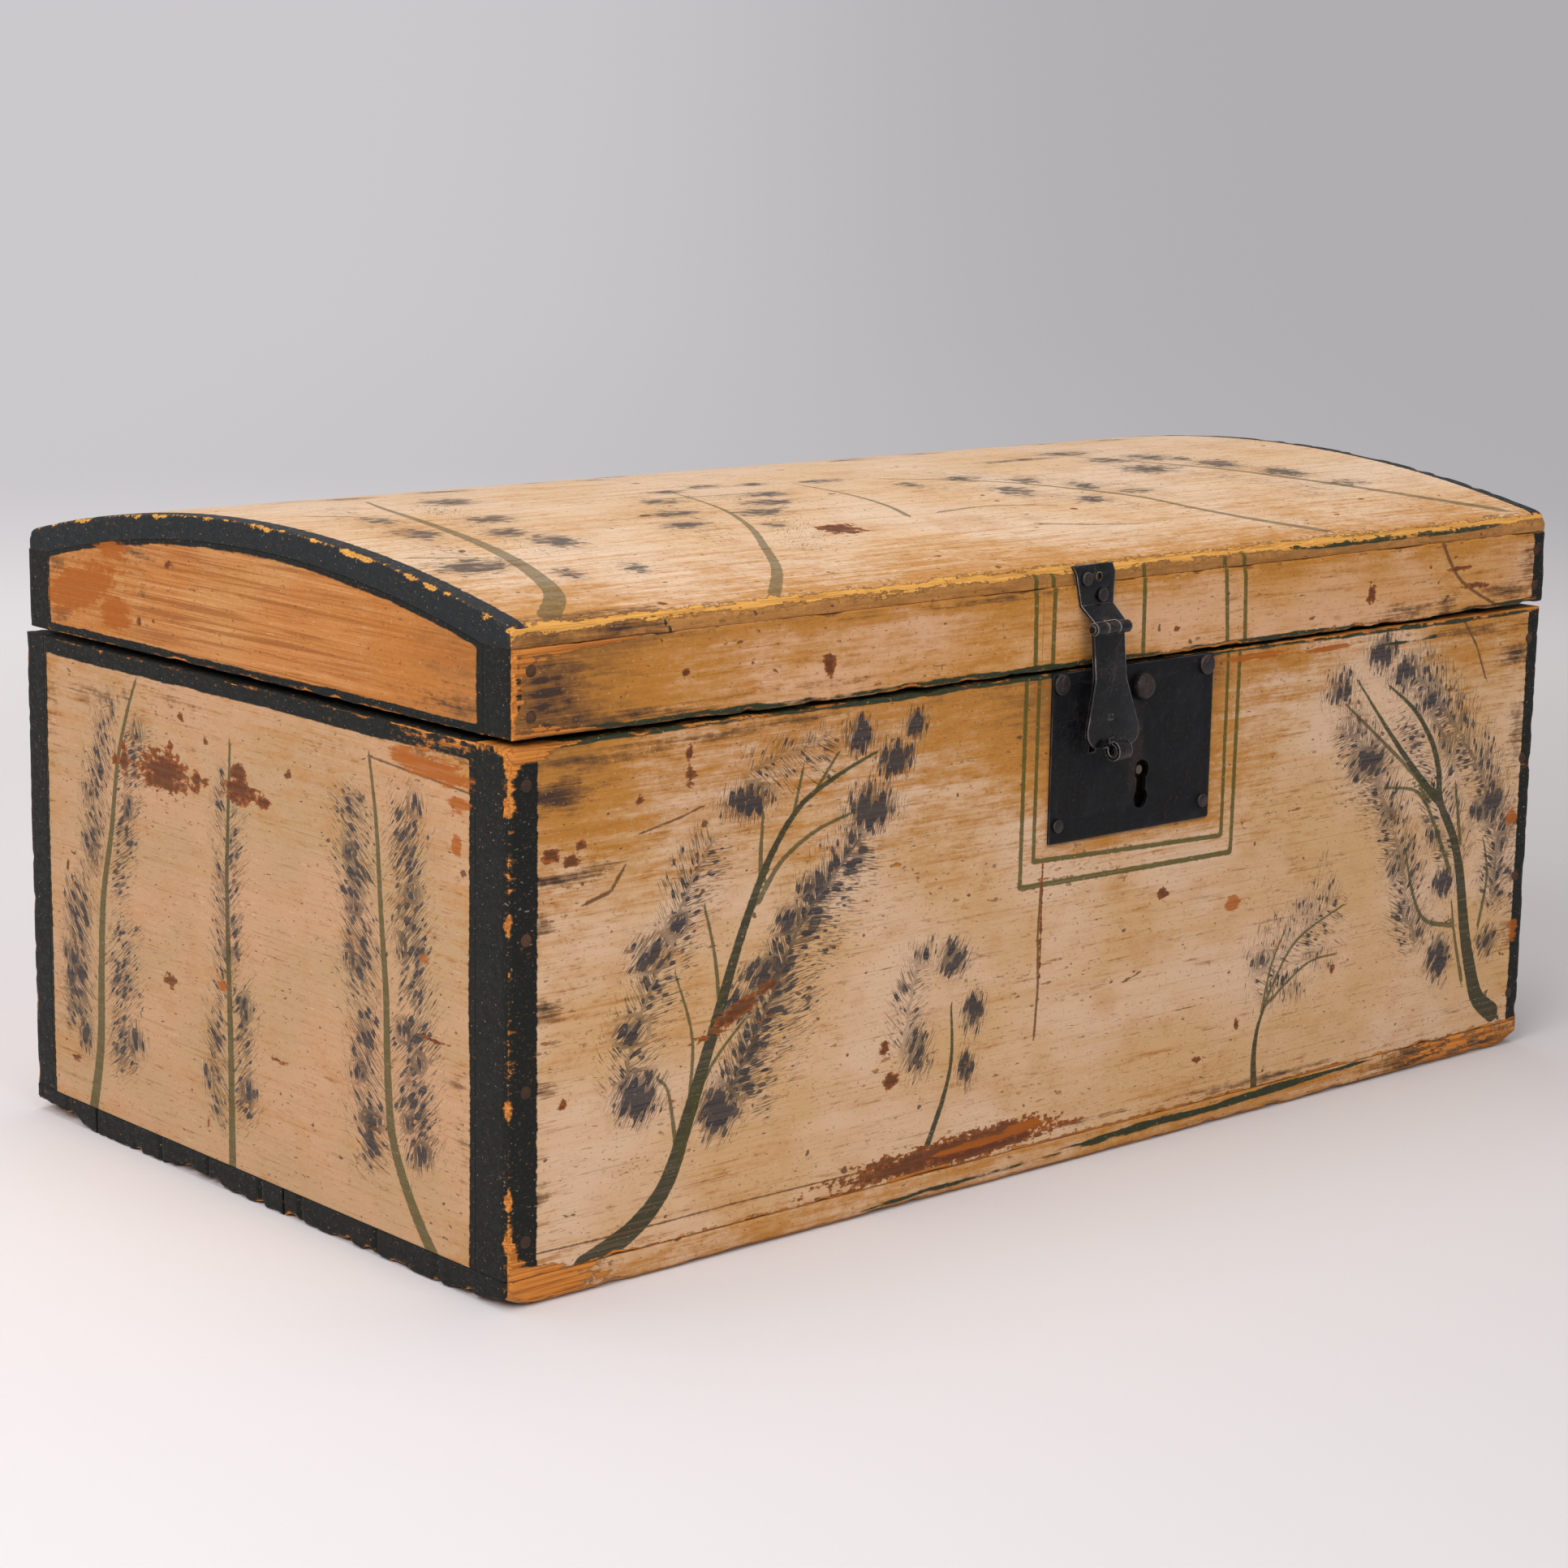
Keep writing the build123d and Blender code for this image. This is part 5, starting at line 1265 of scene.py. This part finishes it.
def arch_paint(b):
    """Warm orange paint, a thin black line along the foot, stained dark at the front, less at the back, least between.
    """
    share = (b.z - b.low[2] / MM) / ((b.high[2] - b.low[2]) / MM)
    height = (arch_z(b.places[:, 1]) - b.low[2]) / MM
    up = share * height
    border = np.maximum.reduce([
        3.8 - up, 2.4 - (height - up), 4.0 - (b.x - b.flat_low[0]), 2.2 - (b.flat_high[0] - b.x)
    ]) + 1.0 * (random_field(b.places, 36 * MM, 7) - 0.5)
    true_flat = np.stack([b.x, b.flat_low[1] + up], 1)
    return {
        "black": np.where(b.shown, border, no_black),
        "tone": np.where(b.shown, 0.25 + 0.85 * smooth(-b.x, 20, 165) + 0.45 * smooth(b.x, 50, 150), 0.0),
        "rust": blot_field(true_flat, b.shown, [(60, 264, 3, 2), (84, 237, 3, 2)]),
        "amber": blot_field(true_flat, b.shown, [(132, 247, 30, 9, -14), (103, 238, 12, 7), (106, 266, 12, 4)]),
        "scorch": smudge_field(true_flat, b.shown, arch_smudges),
        "wear": wear_field(b.rim, b.depth, 2 * MM),
    }


for side, name in ((LEFT, "left"), (RIGHT, "right")):
    painted_board(
        f"painted_{name}_arch", "lid", f"lid_{name}_end", arch_finish,
        (5 * MM, 2.4 * MM, 2.2 * MM), [(side, UNDER, 0.8 * MM)], 0.5 * MM, 61, side, arch_paint, lift_to_arch, UNDER,
    )

# %% Dome sprigs
dome_stems = brush_lines(
    ([
        (-292, 171), (-274, 151), (-264, 122), (-258, 89),
        (-254, 55), (-249, 22), (-241, -10), (-229, -40)
    ], 9.5, 1.5),
    ([(-181, 174), (-158, 149), (-141, 122), (-124, 93), (-112, 64), (-106, 39), (-100, 10)], 5.5, 1.0),
    ([(161, 170), (138, 149), (121, 126), (109, 101), (88, 76), (67, 53), (42, 35), (17, 20)], 5.0, 1.6),
    ([(296, 168), (271, 145), (246, 118), (226, 93), (209, 68), (184, 35), (168, 5)], 6.0, 2.0),
    ([(-36, 97), (-31, 80), (-29, 55), (-31, 20)], 3.0, 1.4),
)
dome_twigs = brush_lines(
    ([(-281, -3), (-266, 10), (-258, 30)], 2.4, 1.0),
    ([(-300, 92), (-271, 101)], 2.0, 1.0),
    ([(-121, 26), (-92, 28), (-54, 31)], 1.8, 1.0),
    ([(-16, 96), (20, 94), (52, 102)], 1.8, 0.9),
    ([(17, 126), (44, 134), (72, 139)], 1.8, 0.9),
)
dome_blobs = [(x, z, wide, high, 1.12 * strength, 8) for x, z, wide, high, strength in (
    (-283, 111, 17, 10, 0.86), (-224, 86, 11, 11, 0.86), (-233, 66, 10, 8, 0.82), (-222, 39, 12, 9, 0.82),
    (-270, 55, 10, 13, 0.72), (-204, -15, 14, 14, 0.78), (-251, 130, 6, 7, 0.80), (-218, 132, 6, 7, 0.76),
    (-266, 22, 6, 10, 0.74), (-151, 80, 13, 6, 0.86), (-139, 59, 13, 6, 0.86), (-97, 70, 14, 7, 0.86),
    (-79, 53, 13, 7, 0.82), (-110, 93, 8, 4, 0.76), (-124, 32, 11, 6, 0.78), (-64, 35, 13, 6, 0.82),
    (-101, 9, 11, 5, 0.76), (-74, 2, 11, 6, 0.76), (-49, 7, 9, 5, 0.76), (55, 72, 10, 11, 0.80),
    (80, 98, 11, 7, 0.82), (117, 91, 11, 4, 0.80), (100, 74, 8, 9, 0.76), (82, 53, 9, 8, 0.76),
    (55, 37, 11, 8, 0.78), (17, 41, 7, 8, 0.70), (-12, 14, 15, 5, 0.74), (234, 82, 12, 11, 0.84),
    (219, 53, 13, 12, 0.84), (169, 51, 17, 12, 0.80), (200, 22, 14, 11, 0.80), (173, -11, 15, 11, 0.80),
    (171, 22, 14, 9, 0.72), (211, 34, 8, 6, 0.74), (130, -1, 26, 5, 0.70), (248, 109, 14, 7, 0.62),
)]
dome_blobs += [
    (-x, -z - 18, wide, high, 0.8 * strength, 15) for x, z, wide, high, strength, _ in dome_blobs if z > 48
]
dome_bands = [(way, 0.35, 0.95, 20, 13, 0.28) for way in (1, -1)]
dome_guides = [(line, dome_bands) for line, _, _ in dome_stems[:4]]
dome_rust = [
    (-85, 107, 11, 8), (-237, 171, 3, 1.6), (-52, 171, 3.4, 1.4), (228, 136, 2, 1.4), (-153, 58, 3.5, 2),
    (56, 110, 2, 2.4), (190, 153, 2, 1.2), (-70, 153, 2.4, 1), (18, 127, 1.8, 1),
]
print(f"dome: {len(dome_stems)} stems, {len(dome_twigs)} twigs and {len(dome_blobs)} leaf prints")

# %% Domed board
dome_flat_low = np.array([dome_low[0], dome_low[1], 0.0])
dome_flat_high = np.array([dome_high[0], dome_high[1], crown_thickness])


def bend_to_dome(points):
    """Lays the flat board on the arch: its thickness is shared out between the arch and the crown above it."""
    share = points[:, 2] / crown_thickness
    points[:, 2] = arch_z(points[:, 1]) * (1 - share) + crown_z(points[:, 1]) * share
    return points


places, quads = lattice(dome_flat_low, dome_flat_high, (2.35 * MM, 2.35 * MM, 3 * MM))
dome_worn = [
    (FRONT, TOP, 7.0 * MM), (BACK, TOP, 7.0 * MM),
    *rounded(TOP, 1.8 * MM), *rounded(FRONT, 3 * MM), *rounded(BACK, 3 * MM),
]
points, rim, depth = worn_points(places, dome_flat_low, dome_flat_high, dome_worn, 1.3 * MM, 71)
flat = np.stack([places[:, 0], -places[:, 1] * 1.01], 1) / MM
x, z = places[:, 0] / MM, places[:, 2] / MM
on_top = places[:, 2] > dome_flat_high[2] - touch
on_nose = places[:, 1] < dome_flat_low[1] + touch
on_ends = at_ends(places, dome_flat_low, dome_flat_high)
to_end = np.minimum(places[:, 0] - dome_flat_low[0], dome_flat_high[0] - places[:, 0]) / MM
nose_line = (
    -0.9
    - np.abs(z - 7.0)
    + 2.4 * (random_field(places * [1, 0, 0], 55 * MM, 77) - 0.5)
    + 2.6 * smooth(x, 95, 150) * (1 - smooth(x, 255, 300))
    - 2.0 * smooth(-x, 150, 200)
)
notch = 1.1 - np.abs(x + 241 + 0.6 * (z - 5)) - 1.2 * (random_field(places, 4 * MM, 78) - 0.3)
nose_black = np.where(on_nose, np.minimum(np.maximum(nose_line, notch), 0.9), no_black)
nose_rim = np.hypot(places[:, 1] - dome_flat_low[1], dome_flat_high[2] - places[:, 2]) / MM
nose_wear = 1.05 - nose_rim / 6.5 + 0.1 * on_nose
top_tone = 0.36 * np.exp(-nose_rim / 30) + 0.38 * np.exp(-nose_rim / 90) + 0.20 * np.exp(-(x + 316) / 150)
top_wear = wear_field(rim, depth, 3.0 * MM) * (0.78 + 0.22 * (to_end > 20))
nose_pins = [ruled_line([(across, -5), (across, 20)], 2.5) for across in (-36.9, -26.5, 30.2, 83.0, 96.0)]
fields = {
    **line_fields(flat, on_top, twig=dome_stems + dome_twigs),
    **line_fields(places[:, [0, 2]] / MM, on_nose, pin=nose_pins),
    **dab_fields(flat, on_top, dome_guides, dome_blobs, 20.0),
    "rust": blot_field(flat, on_top, dome_rust),
    "black": np.where(on_ends, all_black, np.where(on_top, 8.5 - to_end, nose_black)),
    "thin": 1.0 * (on_nose & ~on_ends),
    "tone": np.where(on_top, top_tone, 1.2),
    "scorch": 0.50 * smooth(-x, 238, 243) * (on_nose | (nose_rim < 9)),
    "inside": inner_face(places, dome_flat_low, dome_flat_high, UNDER),
    "wear": np.maximum(top_wear, nose_wear) - 0.25 * on_ends,
}
dome_paint = painted_pine(
    "painted_dome", "X", ((0.79, 0.575, 0.400), (0.76, 0.515, 0.310)), toning=0.95, border=(0.016, 0.020, 0.021),
    bare=((0.78, 0.40, 0.09), (0.50, 0.22, 0.045)), brushwork=0.80, grainy=1.3, clouds=0.45,
)
points = bend_to_dome(points)
lattice_piece("painted_dome", "lid", ["lid_top_board"], points, quads, fields, dome_paint)


# %% [markdown]
# ## Iron
# The lock plate and the hasp are forged sheet iron, blackened by old lacquer and handling, and the nails are
# brown with rust. Their solids have the right shape but knife-sharp edges, which no hammered iron has. So each is
# a copy of its solid with the triangles merged into whole faces and a small bevel, whose rounded edge catches
# the light. The hammer marks are too shallow to model, and come from the bump.


# %% Iron finishes
scratch_grey = (0.10, 0.09, 0.09)
pit_grey = (0.13, 0.12, 0.12)
rubbed_highlight_iron = (0.50, 0.47, 0.455)


def forged_iron(name, dark, brown, brown_from, gloss=(0.34, 0.55), stain=None, specular=0.35, relief=0.9, edge=0.0):
    """Blackened iron with brown bloom where noise rises above `brown_from`.

    `stain` is an upright brown streak: (across, foot, top, half width) in millimetres. `edge` is how far the edges
    are lightened, as rubbed iron and as a painted highlight. The edges are where the surface normal, averaged over
    0.8 mm, leans off the true one.
    """
    f = Finish(name)
    bloom = f.noise((14, 14, 14), detail=4, rough=0.6)
    pit = f.noise((1.3, 1.3, 1.3), detail=3, rough=0.6)
    hammer = f.noise((8, 8, 8), detail=1)
    scratch = f.noise((0.8, 4, 9), detail=3, rough=0.6, offset=(2, 2, 2))
    share = f.plus(bloom, (f.math("SUBTRACT", pit, 0.5), 0.5))
    if stain:
        across, foot, top, half = stain
        place = f.add("ShaderNodeSeparateXYZ", {"Vector": f.place}, "X")
        height = f.add("ShaderNodeSeparateXYZ", {"Vector": f.place}, "Z")
        off = f.math("ABSOLUTE", f.math("SUBTRACT", place, across * MM))
        streak = f.step(off, half * MM, 0.4 * half * MM)
        streak = f.math("MULTIPLY", streak, f.step(height, (foot - 5) * MM, foot * MM))
        streak = f.math("MULTIPLY", streak, f.step(height, (top + 5) * MM, top * MM))
        share = f.plus(share, (streak, 0.22))
    colour = f.glaze(
        dark, (share, brown_from, brown_from + 0.2, 1, brown), (scratch, 0.66, 0.76, 0.5, scratch_grey),
        (pit, 0.64, 0.78, 0.4, pit_grey),
    )
    rough = f.step(bloom, 0.3, 0.7, *gloss)
    flakes = {"Vector": f.mapped((3.4, 3.4, 3.4)), "Scale": 1.0}
    flakes = f.add("ShaderNodeTexVoronoi", flakes, "Distance", feature="DISTANCE_TO_EDGE")
    crackle = f.math("MULTIPLY", f.step(flakes, 0.07, 0.0), f.step(bloom, 0.46, 0.60))
    colour = f.mix(f.math("MULTIPLY", crackle, 0.30), colour, brown)
    # Edges lightened and made glossier: rubbed iron, and a painted highlight along the rims.
    if edge:
        eased = f.add("ShaderNodeBevel", {"Radius": 0.8 * MM}, "Normal", samples=6)
        true = f.add("ShaderNodeNewGeometry", {}, "Normal")
        lean = f.add("ShaderNodeVectorMath", {0: eased, 1: true}, "Value", operation="DOT_PRODUCT")
        rubbed_and_highlight = f.math("MULTIPLY", f.step(lean, 0.99, 0.90), f.step(bloom, 0.42, 0.56, 0.25, 1.0))
        colour = f.mix(f.math("MULTIPLY", rubbed_and_highlight, edge), colour, rubbed_highlight_iron)
        rough = f.plus(rough, (rubbed_and_highlight, -0.08))
    height = f.plus(f.math("MULTIPLY", hammer, 1.1), (pit, 0.25), (crackle, -0.25))
    return f.finish(colour, rough, f.bump(height, relief), specular=specular)


plate_iron = forged_iron(
    "plate_iron", (0.0045, 0.005, 0.0065), (0.028, 0.018, 0.016), 0.62, (0.42, 0.62),
    stain=(27, 163, 203, 7), specular=0.20, edge=0.22,
)
hasp_iron = forged_iron(
    "hasp_iron", (0.0036, 0.0042, 0.0052), (0.030, 0.021, 0.018), 0.58, (0.15, 0.30),
    specular=0.34, relief=0.35, edge=0.75,
)
head_iron = forged_iron(
    "head_iron", (0.014, 0.010, 0.009), (0.055, 0.028, 0.020), 0.48, (0.26, 0.45), specular=0.36, edge=0.55
)
nail_iron = forged_iron("nail_iron", (0.045, 0.022, 0.013), (0.10, 0.045, 0.022), 0.46, (0.65, 0.9))
lock_iron = forged_iron("lock_iron", (0.07, 0.055, 0.046), (0.14, 0.075, 0.045), 0.50, (0.45, 0.7))
drill_iron = forged_iron("drill_iron", (0.11, 0.080, 0.066), (0.20, 0.115, 0.075), 0.50, (0.4, 0.6))
hinge_iron = forged_iron("hinge_iron", (0.05, 0.042, 0.038), (0.13, 0.068, 0.04), 0.50, (0.45, 0.7))


def forged(name, body, node, finish, bevel, swell=0.0):
    """A bevelled copy of a CAD node: doubles are merged, flat faces joined, and edges over 35 degrees rounded.

    `swell` is how far rust has lifted its surface: every point moves that far along its normal.
    """
    work = bmesh.new()
    work.from_mesh(nodes[node].data)
    bmesh.ops.remove_doubles(work, verts=work.verts, dist=1e-6)
    bmesh.ops.dissolve_limit(work, angle_limit=math.radians(1), verts=work.verts, edges=work.edges)
    mesh = bpy.data.meshes.new(name)
    work.to_mesh(mesh)
    work.free()
    if swell:
        at, out = (np.empty(3 * len(mesh.vertices), np.float32) for _ in range(2))
        mesh.vertices.foreach_get("co", at)
        mesh.vertices.foreach_get("normal", out)
        mesh.vertices.foreach_set("co", at + swell * MM * out)
    mesh.shade_smooth()
    mesh.materials.append(finish)
    piece = linked(name, mesh)
    rounding = piece.modifiers.new("rounding", "BEVEL")
    rounding.width = bevel * MM
    rounding.segments = 2
    rounding.limit_method = "ANGLE"
    rounding.angle_limit = math.radians(35)
    rounding.harden_normals = True
    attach(piece, body)
    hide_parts(node)
    print(f"{name}: {len(mesh.polygons)} faces before rounding")


for name, body, node, finish, bevel, *swell in (
    ("rusty_case_nails", "case", "case_nails", nail_iron, 0.25, 0.22),
    ("rusty_bottom_nails", "case", "bottom_nails", nail_iron, 0.25, 0.22),
    ("rusty_rail_nails", "lid", "lid_rail_nails", nail_iron, 0.25, 0.22),
    ("forged_plate", "case", "lock_plate", plate_iron, 0.3),
    ("forged_plate_nails", "case", "lock_plate_nails", head_iron, 0.35),
    ("forged_rivet", "case", "keyhole_cover_rivet", head_iron, 0.4),
    ("forged_leaf", "lid", "hasp_leaf", hasp_iron, 0.3),
    ("forged_leaf_nails", "lid", "hasp_leaf_nails", head_iron, 0.3),
    ("forged_hasp_pin", "lid", "hasp_pin", hasp_iron, 0.25),
    ("forged_arm", "hasp", "hasp_arm", hasp_iron, 0.4),
    ("forged_staple", "hasp", "hasp_staple", hasp_iron, 0.4),
):
    forged(name, body, node, finish, bevel, *swell)

iron_of = dict.fromkeys(("lock_case", "lock_bolt_guides", "lock_spring", "lock_bolt"), lock_iron)
iron_of |= {"lid_top_nails": nail_iron, "lock_drill_pin": drill_iron}
for name, node in nodes.items():
    if not node.hide_render:
        node.data.materials.clear()
        node.data.materials.append(iron_of.get(name, hinge_iron))
